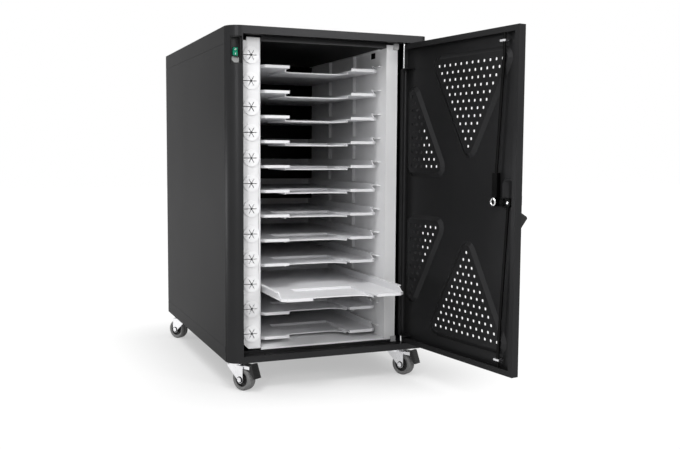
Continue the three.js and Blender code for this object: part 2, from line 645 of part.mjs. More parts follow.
function tray() {
  const half = TRAY_WIDTH / 2;
  const channel = TRAY_CHANNEL_WIDTH / 2;
  const wingTop = TRAY_STEP + TRAY_SHEET;
  const top = TRAY_STEP + TRAY_WALL_HEIGHT;
  const sunk = box([-channel, channel], [-EPS, TRAY_CHANNEL_DEPTH], [TRAY_SHEET, top]);
  const trough = box(
    [-channel - TRAY_SHEET, channel + TRAY_SHEET],
    [-2 * EPS, TRAY_CHANNEL_DEPTH + TRAY_SHEET],
    [-EPS, wingTop + EPS]);
  const wings = cut(raise(trayOutline(), [TRAY_STEP, wingTop], 4), trough);
  const underWings = box(
    [-channel - TRAY_SHEET - EPS, channel + TRAY_SHEET + EPS],
    [-EPS, TRAY_CUTOUT_DEPTH - TRAY_CUTOUT_RADIUS],
    [-EPS, TRAY_STEP]);
  const channelPan = cut(raise(trayOutline(), [0, wingTop], 4).intersect(trough), sunk, underWings);
  const flangeStart = TRAY_CORNER + TRAY_LIP_RUN + TRAY_SLOPE_RUN;
  const flangeZ = [top - TRAY_SHEET, top];
  const pieces = [
    channelPan,
    trayRim(1),
    trayRim(-1),
    box([-half, half], [TRAY_DEPTH - TRAY_SHEET, TRAY_DEPTH], [TRAY_STEP, top]),
    box([-half - TRAY_FLANGE, -half + TRAY_SHEET / 2], [flangeStart, TRAY_DEPTH], flangeZ),
    box([half - TRAY_SHEET / 2, half + TRAY_FLANGE], [flangeStart, TRAY_DEPTH], flangeZ)];
  return join(wings, ...pieces);
}

// Switch: housing with an open pocket, and a rocker that tilts in it
const switchFront = FRONT + SWITCH_INSET;
const rockerY = switchFront + SWITCH_POCKET - ROCKER_THICKNESS / 2;
const rockerX = (switchLeft + switchRight) / 2;
const rockerZ = (switchTop + switchBottom) / 2 - ROCKER_DROP;

function switchHousing() {
  const outline = [switchLeft + GAP, switchRight - GAP];
  const depths = [switchFront, switchFront + SWITCH_BODY_DEPTH];
  const block = box(outline, depths, [switchBottom + GAP, switchTop - GAP]);
  const corner = frameOutline(FRAME_WALL / 2, FRAME_BACK + 3 * EPS);
  const beyondCorner = cut(
    box(
      [LEFT - EPS, OPENING_LEFT], [FRONT - EPS, FRAME_BACK + 2 * EPS], [switchBottom - EPS, switchTop + EPS]),
    raise(corner, [switchBottom - 2 * EPS, switchTop + 2 * EPS], 8));
  const inside = [outline[0] + SWITCH_WALL, outline[1] - SWITCH_WALL];
  const back = switchFront + SWITCH_POCKET;
  const low = switchBottom + SWITCH_WALL;
  const high = switchTop - SWITCH_WALL;
  const scoop = polygon([
    [FRONT - EPS, low], [switchFront, low], [back, low + SWITCH_POCKET],
    [back, high], [FRONT - EPS, high]]);
  const clearance = ROCKER_THICKNESS / 2 + 2 * GAP;
  const seat = box(
    [rockerX - ROCKER_WIDTH / 2 - GAP, rockerX + ROCKER_WIDTH / 2 + GAP],
    [back - EPS, rockerY + clearance + ROCKER_CROWN],
    [rockerZ - ROCKER_HEIGHT / 2 - EPS, rockerZ + ROCKER_HEIGHT / 2 + EPS]);
  return cut(block, beyondCorner, run(scoop, inside), seat);
}

function powerRocker() {
  const half = ROCKER_HEIGHT / 2;
  const front = -ROCKER_THICKNESS / 2;
  const profile = polygon([
    [front - ROCKER_CROWN, half], [front, 0], [front - ROCKER_CROWN, -half],
    [ROCKER_THICKNESS / 2, -half + ROCKER_CROWN], [ROCKER_THICKNESS / 2, half - ROCKER_CROWN]]);
  return run(profile, [-ROCKER_WIDTH / 2, ROCKER_WIDTH / 2]);
}

// Power distribution in the left compartment and the mains inlet behind it
function powerStrip() {
  const right = BAY_LEFT - SHEET - GAP;
  const left = right - STRIP_THICKNESS;
  const y = REAR - STRIP_FROM_REAR;
  const bottom = (HEIGHT - STRIP_LENGTH) / 2;
  const body = box([left, right], [y, y + STRIP_WIDTH], [bottom, bottom + STRIP_LENGTH]);
  const pitch = STRIP_LENGTH / OUTLET_COUNT;
  const outlets = Array.from({ length: OUTLET_COUNT }, (_, i) => {
    const z = bottom + pitch * (i + 0.5);
    return box(
      [left - EPS, left + OUTLET_DEPTH],
      [y + (STRIP_WIDTH - OUTLET_SIZE) / 2, y + (STRIP_WIDTH + OUTLET_SIZE) / 2],
      [z - OUTLET_SIZE / 2, z + OUTLET_SIZE / 2]);
  });
  return cut(body, ...outlets);
}

function powerInlet() {
  const rear = REAR + GAP;
  const neck = box(
    [inletX - INLET_WIDTH / 2 + GAP, inletX + INLET_WIDTH / 2 - GAP],
    [REAR - INLET_DEPTH, rear + INLET_FLANGE_SHEET],
    [inletZ - INLET_HEIGHT / 2 + GAP, inletZ + INLET_HEIGHT / 2 - GAP]);
  const flange = box(
    [inletX - INLET_WIDTH / 2 - INLET_FLANGE, inletX + INLET_WIDTH / 2 + INLET_FLANGE],
    [rear, rear + INLET_FLANGE_SHEET],
    [inletZ - INLET_HEIGHT / 2 - INLET_FLANGE, inletZ + INLET_HEIGHT / 2 + INLET_FLANGE]);
  const wall = INLET_FLANGE;
  const pocket = box(
    [inletX - INLET_WIDTH / 2 + wall, inletX + INLET_WIDTH / 2 - wall],
    [rear + INLET_FLANGE_SHEET - INLET_POCKET, rear + INLET_FLANGE_SHEET + EPS],
    [inletZ - INLET_HEIGHT / 2 + wall, inletZ + INLET_HEIGHT / 2 - wall]);
  return cut(join(neck, flange), pocket);
}

// Door: x runs from the hinge axis (0) to the free edge (negative), y 0 is the inner plane
const door = new THREE.Group();
door.position.set(HINGE_X, HINGE_Y, 0);
door.rotation.z = THREE.MathUtils.degToRad(DOOR_OPEN_DEGREES);
cart.add(door);

const doorOuter = -DOOR_THICKNESS;
const doorSkin = doorOuter + DOOR_SHEET;

function doorOutline(inset) {
  const radius = DOOR_HINGE_RADIUS - inset;
  const shape = new THREE.Shape();
  shape.moveTo(DOOR_FREE + inset, -inset);
  shape.lineTo(DOOR_FREE + inset, doorOuter + inset);
  shape.lineTo(DOOR_HINGE_OVERHANG - DOOR_HINGE_RADIUS, doorOuter + inset);
  const centre = [DOOR_HINGE_OVERHANG - DOOR_HINGE_RADIUS, doorOuter + DOOR_HINGE_RADIUS];
  shape.absarc(...centre, radius, 1.5 * Math.PI, 2 * Math.PI);
  shape.lineTo(DOOR_HINGE_OVERHANG - inset, -inset);
  return shape;
}

// The corner rows of a perforated triangle, drawn upward from its longest row
const fullTriangle = [
  [-FULL_CENTRE - (HOLE_PITCH * (FULL_ROWS - 1)) / 2, 0],
  [-FULL_CENTRE + (HOLE_PITCH * (FULL_ROWS - 1)) / 2, 0],
  [-FULL_CENTRE, HOLE_ROW_PITCH * (FULL_ROWS - 1)]];
const halfTriangle = [
  [-HALF_SIDE - (HOLE_PITCH * (HALF_ROWS - 1)) / 2, 0],
  [-HALF_SIDE, 0],
  [-HALF_SIDE, HOLE_ROW_PITCH * (HALF_ROWS - 1)]];

function fullHoles() {
  const holes = [];
  for (let row = 0; row < FULL_ROWS; row += 1) {
    for (let i = 0; i < FULL_ROWS - row; i += 1) {
      holes.push([fullTriangle[0][0] + HOLE_PITCH * (i + row / 2), HOLE_ROW_PITCH * row]);
    }
  }
  return holes;
}

function halfHoles() {
  const holes = [];
  for (let row = 0; row < HALF_ROWS; row += 1) {
    const start = halfTriangle[0][0] + (HOLE_PITCH * row) / 2;
    for (let x = start; x <= -HALF_SIDE + GAP; x += HOLE_PITCH) {
      holes.push([x, HOLE_ROW_PITCH * row]);
    }
  }
  return holes;
}

// The line at a set distance round a triangle, with round corners
function around(triangle, margin) {
  const points = [];
  const count = triangle.length;
  for (let i = 0; i < count; i += 1) {
    const [px, pz] = triangle[(i + count - 1) % count];
    const [x, z] = triangle[i];
    const [nx, nz] = triangle[(i + 1) % count];
    const before = Math.atan2(z - pz, x - px) - Math.PI / 2;
    let after = Math.atan2(nz - z, nx - x) - Math.PI / 2;
    while (after < before) {
      after += 2 * Math.PI;
    }
    for (let step = 0; step <= EMBOSS_ARC_STEPS; step += 1) {
      const angle = before + ((after - before) * step) / EMBOSS_ARC_STEPS;
      points.push([x + margin * Math.cos(angle), z + margin * Math.sin(angle)]);
    }
  }
  return points;
}

// Each pattern: its triangle, its holes, the height of its longest row, and which way it points
const upperFullZ = DOOR_TOP - FULL_TOP_DROP;
const lowerFullZ = DOOR_BOTTOM + FULL_TOP_DROP;
const patterns = [
  { triangle: fullTriangle, holes: fullHoles(), z: upperFullZ, way: -1 },
  { triangle: fullTriangle, holes: fullHoles(), z: lowerFullZ, way: 1 },
  { triangle: halfTriangle, holes: halfHoles(), z: DOOR_MIDDLE + HALF_RISE, way: 1 },
  { triangle: halfTriangle, holes: halfHoles(), z: DOOR_MIDDLE - HALF_RISE, way: -1 }];

function settle(points, { z, way }) {
  const settled = points.map(([px, pz]) => [px, z + way * pz]);
  return way > 0 ? settled : settled.reverse();
}

function doorPanel() {
  const outside = raise(doorOutline(0), [DOOR_BOTTOM, DOOR_TOP], 4);
  const inside = raise(doorOutline(DOOR_SHEET), [DOOR_BOTTOM + DOOR_SHEET, DOOR_TOP - DOOR_SHEET], 4);
  const lipOpening = box(
    [DOOR_FREE + DOOR_LIP, DOOR_HINGE_OVERHANG - DOOR_LIP],
    [-DOOR_SHEET - EPS, EPS],
    [DOOR_BOTTOM + DOOR_LIP, DOOR_TOP - DOOR_LIP]);
  const hingeReach = HINGE_PIN_RADIUS + 2;
  const hingeNotch = (low, high) => box(
    [-hingeReach, DOOR_HINGE_OVERHANG + EPS], [-hingeReach, EPS], [low, high]);
  const upperFoot = DOOR_TOP - HINGE_PIN_LENGTH + HINGE_PIN_RISE;
  const lowerFoot = DOOR_BOTTOM + HINGE_PIN_LENGTH_LOWER - HINGE_PIN_RISE;
  const tab = (z, way) => {
    const ends = [z - way * HINGE_TAB_SHEET, z].sort((a, b) => a - b);
    const plate = box(
      [-HINGE_TAB_WIDTH, DOOR_HINGE_OVERHANG - DOOR_SHEET / 2],
      [doorSkin - DOOR_SHEET / 2, hingeReach],
      ends);
    const beyond = cut(
      box(
        [0, DOOR_HINGE_OVERHANG + EPS], [doorOuter - EPS, hingeReach + EPS], [ends[0] - EPS, ends[1] + EPS]),
      raise(doorOutline(DOOR_SHEET / 2), [ends[0] - 2 * EPS, ends[1] + 2 * EPS], 4));
    return cut(plate, beyond);
  };
  let panel = cut(
    outside, inside, lipOpening,
    hingeNotch(upperFoot, DOOR_TOP + EPS),
    hingeNotch(DOOR_BOTTOM - EPS, lowerFoot));
  panel = join(panel, tab(upperFoot, 1), tab(lowerFoot, -1));
  const boltSlot = (z) => bar(
    [-LOCK_FROM_HINGE, -ROD_LAYER, z - 3 * DOOR_SHEET],
    [-LOCK_FROM_HINGE, -ROD_LAYER, z + 3 * DOOR_SHEET],
    ROD_RADIUS + ROD_PLAY, 8);
  panel = cut(panel, boltSlot(DOOR_TOP), boltSlot(DOOR_BOTTOM));
  patterns.forEach((pattern) => {
    const base = settle(around(pattern.triangle, EMBOSS_MARGIN), pattern);
    const crown = settle(around(pattern.triangle, EMBOSS_MARGIN - EMBOSS_SLOPE), pattern);
    panel = join(panel, loft(base, crown, doorSkin - DOOR_SHEET / 2, doorSkin + EMBOSS_RISE));
  });
  patterns.forEach((pattern) => {
    const base = settle(around(pattern.triangle, EMBOSS_MARGIN - DOOR_SHEET), pattern);
    const crown = settle(around(pattern.triangle, EMBOSS_MARGIN - EMBOSS_SLOPE - DOOR_SHEET), pattern);
    panel = cut(panel, loft(base, crown, doorOuter - GAP, doorSkin + EMBOSS_RISE - DOOR_SHEET));
    const through = [doorOuter, doorSkin + EMBOSS_RISE + EPS];
    const holes = settle(pattern.holes, pattern).map(([x, z]) => bar(
      [x, through[0], z], [x, through[1], z], HOLE_RADIUS, HOLE_SIDES));
    panel = cut(panel, wasm.Manifold.compose(holes));
  });
  const spindleHole = bar(
    [-LOCK_FROM_HINGE, doorOuter - EPS, DOOR_MIDDLE],
    [-LOCK_FROM_HINGE, doorSkin + EPS, DOOR_MIDDLE],
    SPINDLE_RADIUS + GAP, 16);
  return cut(panel, spindleHole);
}

function hingePin(end, way, length) {
  const tip = end + way * HINGE_PIN_RISE;
  const foot = end - way * (length - HINGE_PIN_RISE - GAP);
  return bar([0, 0, foot], [0, 0, tip], HINGE_PIN_RADIUS, 12);
}

function hingeBlock(z) {
  const right = BAY_RIGHT + RIGHT_FLANGE_WIDTH;
  return box(
    [right - HINGE_BLOCK_WIDTH, right],
    [INNER_FRONT - GAP - HINGE_BLOCK_DEPTH, INNER_FRONT - GAP],
    [z - HINGE_BLOCK_HEIGHT / 2, z + HINGE_BLOCK_HEIGHT / 2]);
}

// Lock: cam with its spindle, two rods and their guides, plate and handle outside
function lockCam() {
  const half = CAM_PIN_RADIUS;
  const inner = doorSkin + GAP + CAM_THICKNESS;
  const plate = new THREE.Shape();
  plate.absarc(half, 0, CAM_WIDTH / 2, -Math.PI / 2, Math.PI / 2);
  plate.absarc(-half, 0, CAM_WIDTH / 2, Math.PI / 2, 1.5 * Math.PI);
  const pins = [half, -half].map((x) => bar(
    [x, inner - GAP, 0], [x, inner + CAM_PIN_HEIGHT, 0], CAM_PIN_SIZE, 10));
  const spindleEnd = doorOuter - GAP - LOCK_PLATE_THICKNESS;
  const spindle = bar([0, inner - GAP, 0], [0, spindleEnd, 0], SPINDLE_RADIUS, 16);
  return join(push(plate, [doorSkin + GAP, inner], 6), ...pins, spindle);
}

function rod(end, way) {
  const pinX = -LOCK_FROM_HINGE + way * CAM_PIN_RADIUS;
  const tip = end - way * ROD_END_INSET;
  const neck = tip - way * (ROD_GUIDE_INSET + CAM_PIN_RADIUS + ROD_GUIDE_HEIGHT);
  const straight = bar(
    [-LOCK_FROM_HINGE, -ROD_LAYER, neck], [-LOCK_FROM_HINGE, -ROD_LAYER, tip], ROD_RADIUS, 10);
  const slant = bar(
    [pinX, -ROD_LAYER, DOOR_MIDDLE], [-LOCK_FROM_HINGE, -ROD_LAYER, neck + way], ROD_RADIUS, 10);
  const sleeveFrom = DOOR_MIDDLE + way * (CAM_WIDTH / 2 + 2 * GAP);
  const drift = (-way * CAM_PIN_RADIUS) / (neck + way - DOOR_MIDDLE);
  const slantX = (z) => pinX + drift * (z - DOOR_MIDDLE);
  const sleeveTo = sleeveFrom + way * ROD_SLEEVE_LENGTH;
  const sleeveX = (slantX(sleeveFrom) + slantX(sleeveTo)) / 2;
  const sleeve = box(
    [sleeveX - ROD_SLEEVE_WIDTH / 2, sleeveX + ROD_SLEEVE_WIDTH / 2],
    [-ROD_LAYER - ROD_SLEEVE_DEPTH, -ROD_LAYER + ROD_RADIUS],
    way > 0 ? [sleeveFrom, sleeveTo] : [sleeveTo, sleeveFrom]);
  const eye = bar(
    [pinX, -ROD_LAYER - ROD_RADIUS, DOOR_MIDDLE],
    [pinX, -ROD_LAYER + ROD_RADIUS, DOOR_MIDDLE],
    CAM_WIDTH / 2, 14);
  return way > 0 ? join(straight, slant, eye, sleeve) : join(straight, slant, eye);
}

function rodGuide(end, way) {
  const z = end - way * (ROD_END_INSET + ROD_GUIDE_INSET);
  const half = ROD_GUIDE_WIDTH / 2;
  const block = box(
    [-LOCK_FROM_HINGE - half, -LOCK_FROM_HINGE + half],
    [-ROD_LAYER - ROD_RADIUS - DOOR_SHEET, 0],
    [z - ROD_GUIDE_HEIGHT / 2, z + ROD_GUIDE_HEIGHT / 2]);
  const bore = bar(
    [-LOCK_FROM_HINGE, -ROD_LAYER, z - ROD_GUIDE_HEIGHT],
    [-LOCK_FROM_HINGE, -ROD_LAYER, z + ROD_GUIDE_HEIGHT],
    ROD_RADIUS + GAP, 10);
  return cut(block, bore);
}

function lockPlate() {
  const outer = doorOuter - GAP - LOCK_PLATE_THICKNESS;
  const half = LOCK_PLATE_WIDTH / 2;
  const top = LOCK_PLATE_RISE;
  const bottom = top - LOCK_PLATE_HEIGHT;
  const shape = new THREE.Shape();
  shape.absarc(0, top - half, half, 0, Math.PI);
  shape.absarc(0, bottom + half, half, Math.PI, 2 * Math.PI);
  const plate = push(shape, [outer, doorOuter - GAP], 6);
  const bore = bar([0, outer - EPS, 0], [0, doorOuter, 0], SPINDLE_RADIUS + GAP, 16);
  return cut(plate, bore);
}

// The handle hangs from the spindle and lifts on a cross axis at its head
const handleInner = doorOuter - 2 * GAP - LOCK_PLATE_THICKNESS;

function swingHandle() {
  const face = handleInner - HANDLE_HEAD_DEPTH;
  const waist = face + HANDLE_WAIST_DEPTH;
  const grip = handleInner - FINGER_GAP;
  const tip = -HANDLE_LENGTH;
  const side = polygon([
    [handleInner, HANDLE_HEAD], [face + HANDLE_EDGE, HANDLE_HEAD], [face, HANDLE_HEAD - HANDLE_EDGE],
    [face, -HANDLE_WAIST_FROM + HANDLE_EDGE], [waist, -HANDLE_WAIST_FROM - HANDLE_EDGE],
    [waist, -HANDLE_WAIST_TO + HANDLE_EDGE],
    [face - HANDLE_CREST + HANDLE_EDGE, -HANDLE_CREST_DROP + HANDLE_EDGE],
    [face - HANDLE_CREST, -HANDLE_CREST_DROP - HANDLE_EDGE],
    [grip - HANDLE_TIP, tip], [grip, tip], [grip, -HANDLE_WAIST_TO - FINGER_GAP],
    [handleInner, -HANDLE_WAIST_TO]]);
  return run(side, [-HANDLE_WIDTH / 2, HANDLE_WIDTH / 2]);
}

// Casters: the swivel axis is the group's z axis, the wheel trails along +x
function casterPlaces() {
  return [
    { name: 'front_left', x: CASTER_LEFT, y: CASTER_FRONT, brake: true },
    { name: 'front_right', x: CASTER_RIGHT, y: CASTER_FRONT, brake: true },
    { name: 'rear_left', x: CASTER_LEFT, y: CASTER_REAR, brake: false },
    { name: 'rear_right', x: CASTER_RIGHT, y: CASTER_REAR, brake: false }];
}

const axleZ = WHEEL_RADIUS - CASTER_HEIGHT;
const forkTop = -CASTER_PLATE_SHEET - GAP;
const forkHalf = WHEEL_WIDTH / 2 + 1;

function casterFork() {
  const head = bar([0, 0, forkTop - FORK_HEAD_HEIGHT], [0, 0, forkTop], FORK_HEAD_RADIUS, 20);
  const low = forkTop - FORK_HEAD_HEIGHT;
  const cheek = new THREE.Shape();
  const roofTop = low + FORK_SHEET;
  cheek.moveTo(-FORK_SHOULDER, roofTop);
  cheek.lineTo(-FORK_SHOULDER, low - FORK_SHEET);
  cheek.lineTo(CASTER_TRAIL - FORK_FOOT_RADIUS, axleZ);
  cheek.absarc(CASTER_TRAIL, axleZ, FORK_FOOT_RADIUS, Math.PI, 2 * Math.PI);
  cheek.lineTo(CASTER_TRAIL + FORK_FOOT_RADIUS, low);
  cheek.lineTo(CASTER_TRAIL + FORK_FOOT_RADIUS, roofTop);
  const sides = [
    push(cheek, [forkHalf, forkHalf + FORK_SHEET], 5), push(cheek, [-forkHalf - FORK_SHEET, -forkHalf], 5)];
  const roof = box(
    [-FORK_SHOULDER, CASTER_TRAIL + FORK_FOOT_RADIUS],
    [-forkHalf - FORK_SHEET, forkHalf + FORK_SHEET],
    [low, roofTop]);
  const end = forkHalf + FORK_SHEET;
  const axle = bar([CASTER_TRAIL, -end, axleZ], [CASTER_TRAIL, end, axleZ], AXLE_RADIUS, 12);
  const heads = [-1, 1].map((way) => bar(
    [CASTER_TRAIL, way * (end - GAP), axleZ],
    [CASTER_TRAIL, way * (end + AXLE_HEAD), axleZ],
    AXLE_HEAD_RADIUS, 6));
  return join(head, roof, ...sides, axle, ...heads);
}

function casterWheel() {
  const half = WHEEL_WIDTH / 2;
  const bore = AXLE_RADIUS + GAP;
  const dish = half - WHEEL_DISH;
  const profile = [
    [bore, -dish], [WHEEL_HUB_RADIUS, -dish], [WHEEL_HUB_RADIUS + WHEEL_DISH, -half],
    [WHEEL_RADIUS - WHEEL_BEVEL, -half], [WHEEL_RADIUS, -half + WHEEL_BEVEL],
    [WHEEL_RADIUS, half - WHEEL_BEVEL], [WHEEL_RADIUS - WHEEL_BEVEL, half],
    [WHEEL_HUB_RADIUS + WHEEL_DISH, half], [WHEEL_HUB_RADIUS, dish], [bore, dish], [bore, -dish]];
  const geometry = new THREE.LatheGeometry(profile.map(([r, y]) => new THREE.Vector2(r, y)), 20);
  return toSolid(geometry);
}

const pedalX = CASTER_TRAIL + FORK_FOOT_RADIUS + PEDAL_PIVOT_RADIUS + 2 * GAP;
const pedalZ = forkTop - FORK_HEAD_HEIGHT + 2 - PEDAL_PIVOT_RADIUS;

function brakePedal() {
  const half = PEDAL_WIDTH / 2;
  const knuckle = bar([0, -half, 0], [0, half, 0], PEDAL_PIVOT_RADIUS, 10);
  const thick = PEDAL_THICKNESS;
  const top = PEDAL_PIVOT_RADIUS;
  const bladeTop = top + PEDAL_RISE;
  const foot = bladeTop - PEDAL_DROP;
  const blade = polygon([
    [0, top], [0, top - thick], [PEDAL_ARM - thick, top - thick],
    [PEDAL_ARM + PEDAL_LEAN - thick, foot], [PEDAL_ARM + PEDAL_LEAN, foot],
    [PEDAL_ARM, bladeTop], [PEDAL_ARM - thick, bladeTop], [PEDAL_ARM - thick, top]]);
  return join(knuckle, push(blade, [-half, half]));
}

function addCaster({ name, x, y, brake }) {
  const caster = new THREE.Group();
  caster.position.set(x, y, 0);
  caster.rotation.z = THREE.MathUtils.degToRad(SWIVELS[name]);
  cart.add(caster);
  place(`caster_fork_${name}`, casterFork(), ZINC, caster);
  const wheel = place(`caster_wheel_${name}`, casterWheel(), GREY_RUBBER, caster);
  wheel.position.set(CASTER_TRAIL, 0, axleZ);
  if (brake) {
    const pedal = place(`brake_pedal_${name}`, brakePedal(), BLACK_PLASTIC, caster);
    pedal.position.set(pedalX, 0, pedalZ);
  }
}

// The cart
place('front_frame', frontFrame(), BLACK_PAINT);
place('top_cover', topCover(), BLACK_PAINT);
place('base_pan', basePan(), BLACK_PAINT);
place('left_side_panel', sidePanel(LEFT, 1), BLACK_PAINT);
place('right_side_panel', sidePanel(RIGHT, -1), BLACK_PAINT);
place('rear_panel', rearPanel(), BLACK_PAINT);
place('bay_floor', bayFloor(), WHITE_PAINT);
place('left_tray_wall', leftTrayWall(), WHITE_PAINT);
place('right_tray_wall', rightTrayWall(), WHITE_PAINT);
place('cable_panel', cablePanel(), WHITE_PAINT);
place('power_strip', powerStrip(), BLACK_PLASTIC);
place('power_inlet', powerInlet(), BLACK_PLASTIC);
place('switch_housing', switchHousing(), BLACK_PLASTIC);
const rocker = place('power_rocker', powerRocker(), GREEN_LENS);
rocker.position.set(rockerX, rockerY, rockerZ);
rocker.rotation.x = THREE.MathUtils.degToRad(ROCKER_TILT_DEGREES);
place('hinge_block_upper', hingeBlock(OPENING_TOP - GAP - HINGE_BLOCK_HEIGHT / 2), ZINC);
place('hinge_block_lower', hingeBlock(OPENING_BOTTOM + GAP + HINGE_BLOCK_HEIGHT / 2), ZINC);

for (let number = 1; number <= TRAY_COUNT; number += 1) {
  place(`grommet_${twoDigits(number)}`, grommet(number), GROMMET_RUBBER);
  const out = number === PULLED_TRAY ? PULLED_BY : 0;
  const shelf = place(`tray_${twoDigits(number)}`, tray(), TRAY_PLASTIC);
  shelf.position.set(BAY_CENTRE, TRAY_FRONT - out, trayBottom(number));
}

place('door_panel', doorPanel(), BLACK_PAINT, door);
place('hinge_pin_upper', hingePin(DOOR_TOP, 1, HINGE_PIN_LENGTH), ZINC, door);
place('hinge_pin_lower', hingePin(DOOR_BOTTOM, -1, HINGE_PIN_LENGTH_LOWER), ZINC, door);
place('rod_guide_upper', rodGuide(DOOR_TOP, 1), ZINC, door);
place('rod_guide_lower', rodGuide(DOOR_BOTTOM, -1), ZINC, door);
place('upper_rod', rod(DOOR_TOP, 1), BLACK_STEEL, door);
place('lower_rod', rod(DOOR_BOTTOM, -1), BLACK_STEEL, door);
place('lock_plate', lockPlate(), BLACK_PLASTIC, door).position.set(-LOCK_FROM_HINGE, 0, DOOR_MIDDLE);
place('lock_cam', lockCam(), BLACK_STEEL, door).position.set(-LOCK_FROM_HINGE, 0, DOOR_MIDDLE);
place('swing_handle', swingHandle(), BLACK_PLASTIC, door).position.set(-LOCK_FROM_HINGE, 0, DOOR_MIDDLE);

casterPlaces().forEach(addCaster);

export default cart;
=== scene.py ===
import json
import math

import bmesh
import bpy
from mathutils import Matrix, Vector


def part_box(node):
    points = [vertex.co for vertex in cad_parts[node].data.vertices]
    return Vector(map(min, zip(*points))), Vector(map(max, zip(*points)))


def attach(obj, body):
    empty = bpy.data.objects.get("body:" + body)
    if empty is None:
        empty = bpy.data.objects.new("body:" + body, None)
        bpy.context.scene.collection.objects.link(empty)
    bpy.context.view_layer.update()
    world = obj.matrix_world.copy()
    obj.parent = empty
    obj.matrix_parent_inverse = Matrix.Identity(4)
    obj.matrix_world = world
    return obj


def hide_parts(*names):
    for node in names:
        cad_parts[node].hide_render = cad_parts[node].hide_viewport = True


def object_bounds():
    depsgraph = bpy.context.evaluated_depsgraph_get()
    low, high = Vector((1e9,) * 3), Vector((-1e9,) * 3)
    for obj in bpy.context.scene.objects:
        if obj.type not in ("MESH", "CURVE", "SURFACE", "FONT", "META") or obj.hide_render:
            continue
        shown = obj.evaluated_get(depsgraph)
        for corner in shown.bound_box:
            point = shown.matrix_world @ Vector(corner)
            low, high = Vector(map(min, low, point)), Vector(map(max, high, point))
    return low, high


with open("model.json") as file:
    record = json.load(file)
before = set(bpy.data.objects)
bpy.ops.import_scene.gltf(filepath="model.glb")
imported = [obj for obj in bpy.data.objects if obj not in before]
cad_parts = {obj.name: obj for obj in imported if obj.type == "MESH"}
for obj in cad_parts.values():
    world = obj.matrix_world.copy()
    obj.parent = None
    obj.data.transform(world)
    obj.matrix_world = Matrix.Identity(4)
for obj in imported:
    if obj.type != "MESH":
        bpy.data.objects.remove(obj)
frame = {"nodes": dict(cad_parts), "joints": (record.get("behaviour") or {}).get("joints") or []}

cad_low, cad_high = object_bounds()
nodes = frame["nodes"]
scene = bpy.context.scene
scene.view_settings.view_transform = "Standard"

MM = 0.001

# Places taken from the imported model, in metres
JOINT = {joint["name"]: joint for joint in frame["joints"]}
LOCK = Vector(JOINT["lock_turn"]["pos_m"])
OUTWARD = Vector(JOINT["lock_turn"]["axis"]).normalized()
UP = Vector((0, 0, 1))
ALONG = UP.cross(OUTWARD).normalized()


def at_door(along, out, height):
    """A point from the lock's centre: towards the door's free edge, outward and up, in mm."""
    return LOCK + (-ALONG * along + OUTWARD * out + UP * height) * MM


# Materials: noise values from low to high spread over the whole range of a finish
NOISE_LOW = 0.3
NOISE_HIGH = 0.7


def new_material(name):
    material = bpy.data.materials.new(name)
    material.use_nodes = True
    tree = material.node_tree
    shader = tree.nodes["Principled BSDF"]
    coords = tree.nodes.new("ShaderNodeTexCoord")
    return material, tree, shader, coords


def add_noise(tree, coords, scale, detail, stretch=None):
    noise = tree.nodes.new("ShaderNodeTexNoise")
    noise.inputs["Scale"].default_value = scale
    noise.inputs["Detail"].default_value = detail
    source = coords.outputs["Object"]
    if stretch:
        mapping = tree.nodes.new("ShaderNodeMapping")
        mapping.inputs["Scale"].default_value = stretch
        tree.links.new(source, mapping.inputs["Vector"])
        source = mapping.outputs["Vector"]
    tree.links.new(source, noise.inputs["Vector"])
    return noise


def add_ramp(tree, factor, low, high):
    ramp = tree.nodes.new("ShaderNodeValToRGB")
    ramp.color_ramp.elements[0].position = NOISE_LOW
    ramp.color_ramp.elements[1].position = NOISE_HIGH
    ramp.color_ramp.elements[0].color = (*low, 1)
    ramp.color_ramp.elements[1].color = (*high, 1)
    tree.links.new(factor, ramp.inputs["Fac"])
    return ramp.outputs["Color"]


def add_range(tree, factor, low, high):
    span = tree.nodes.new("ShaderNodeMapRange")
    span.inputs["From Min"].default_value = NOISE_LOW
    span.inputs["From Max"].default_value = NOISE_HIGH
    span.inputs["To Min"].default_value = low
    span.inputs["To Max"].default_value = high
    tree.links.new(factor, span.inputs["Value"])
    return span.outputs["Result"]


def add_bump(tree, shader, height, distance):
    bump = tree.nodes.new("ShaderNodeBump")
    bump.inputs["Strength"].default_value = 1.0
    bump.inputs["Distance"].default_value = distance
    tree.links.new(height, bump.inputs["Height"])
    tree.links.new(bump.outputs["Normal"], shader.inputs["Normal"])


def surface(
        name, low, high, rough, grain, depth, metal=0.0, cloud=9.0, specular=0.5, edge=1.0, stretch=None):
    """A finish with slow changes of colour, and a fine grain in its gloss and relief."""
    material, tree, shader, coords = new_material(name)
    clouds = add_noise(tree, coords, scale=cloud, detail=4.0)
    fine = add_noise(tree, coords, scale=grain, detail=2.0, stretch=stretch)
    tree.links.new(add_ramp(tree, clouds.outputs["Fac"], low, high), shader.inputs["Base Color"])
    tree.links.new(add_range(tree, fine.outputs["Fac"], rough[0], rough[1]), shader.inputs["Roughness"])
    add_bump(tree, shader, fine.outputs["Fac"], depth)
    shader.inputs["Metallic"].default_value = metal
    shader.inputs["Specular IOR Level"].default_value = specular
    shader.inputs["Specular Tint"].default_value = (edge, edge, edge, 1)
    return material


def grey(value, blue=1.0):
    return (value, value, value * blue)


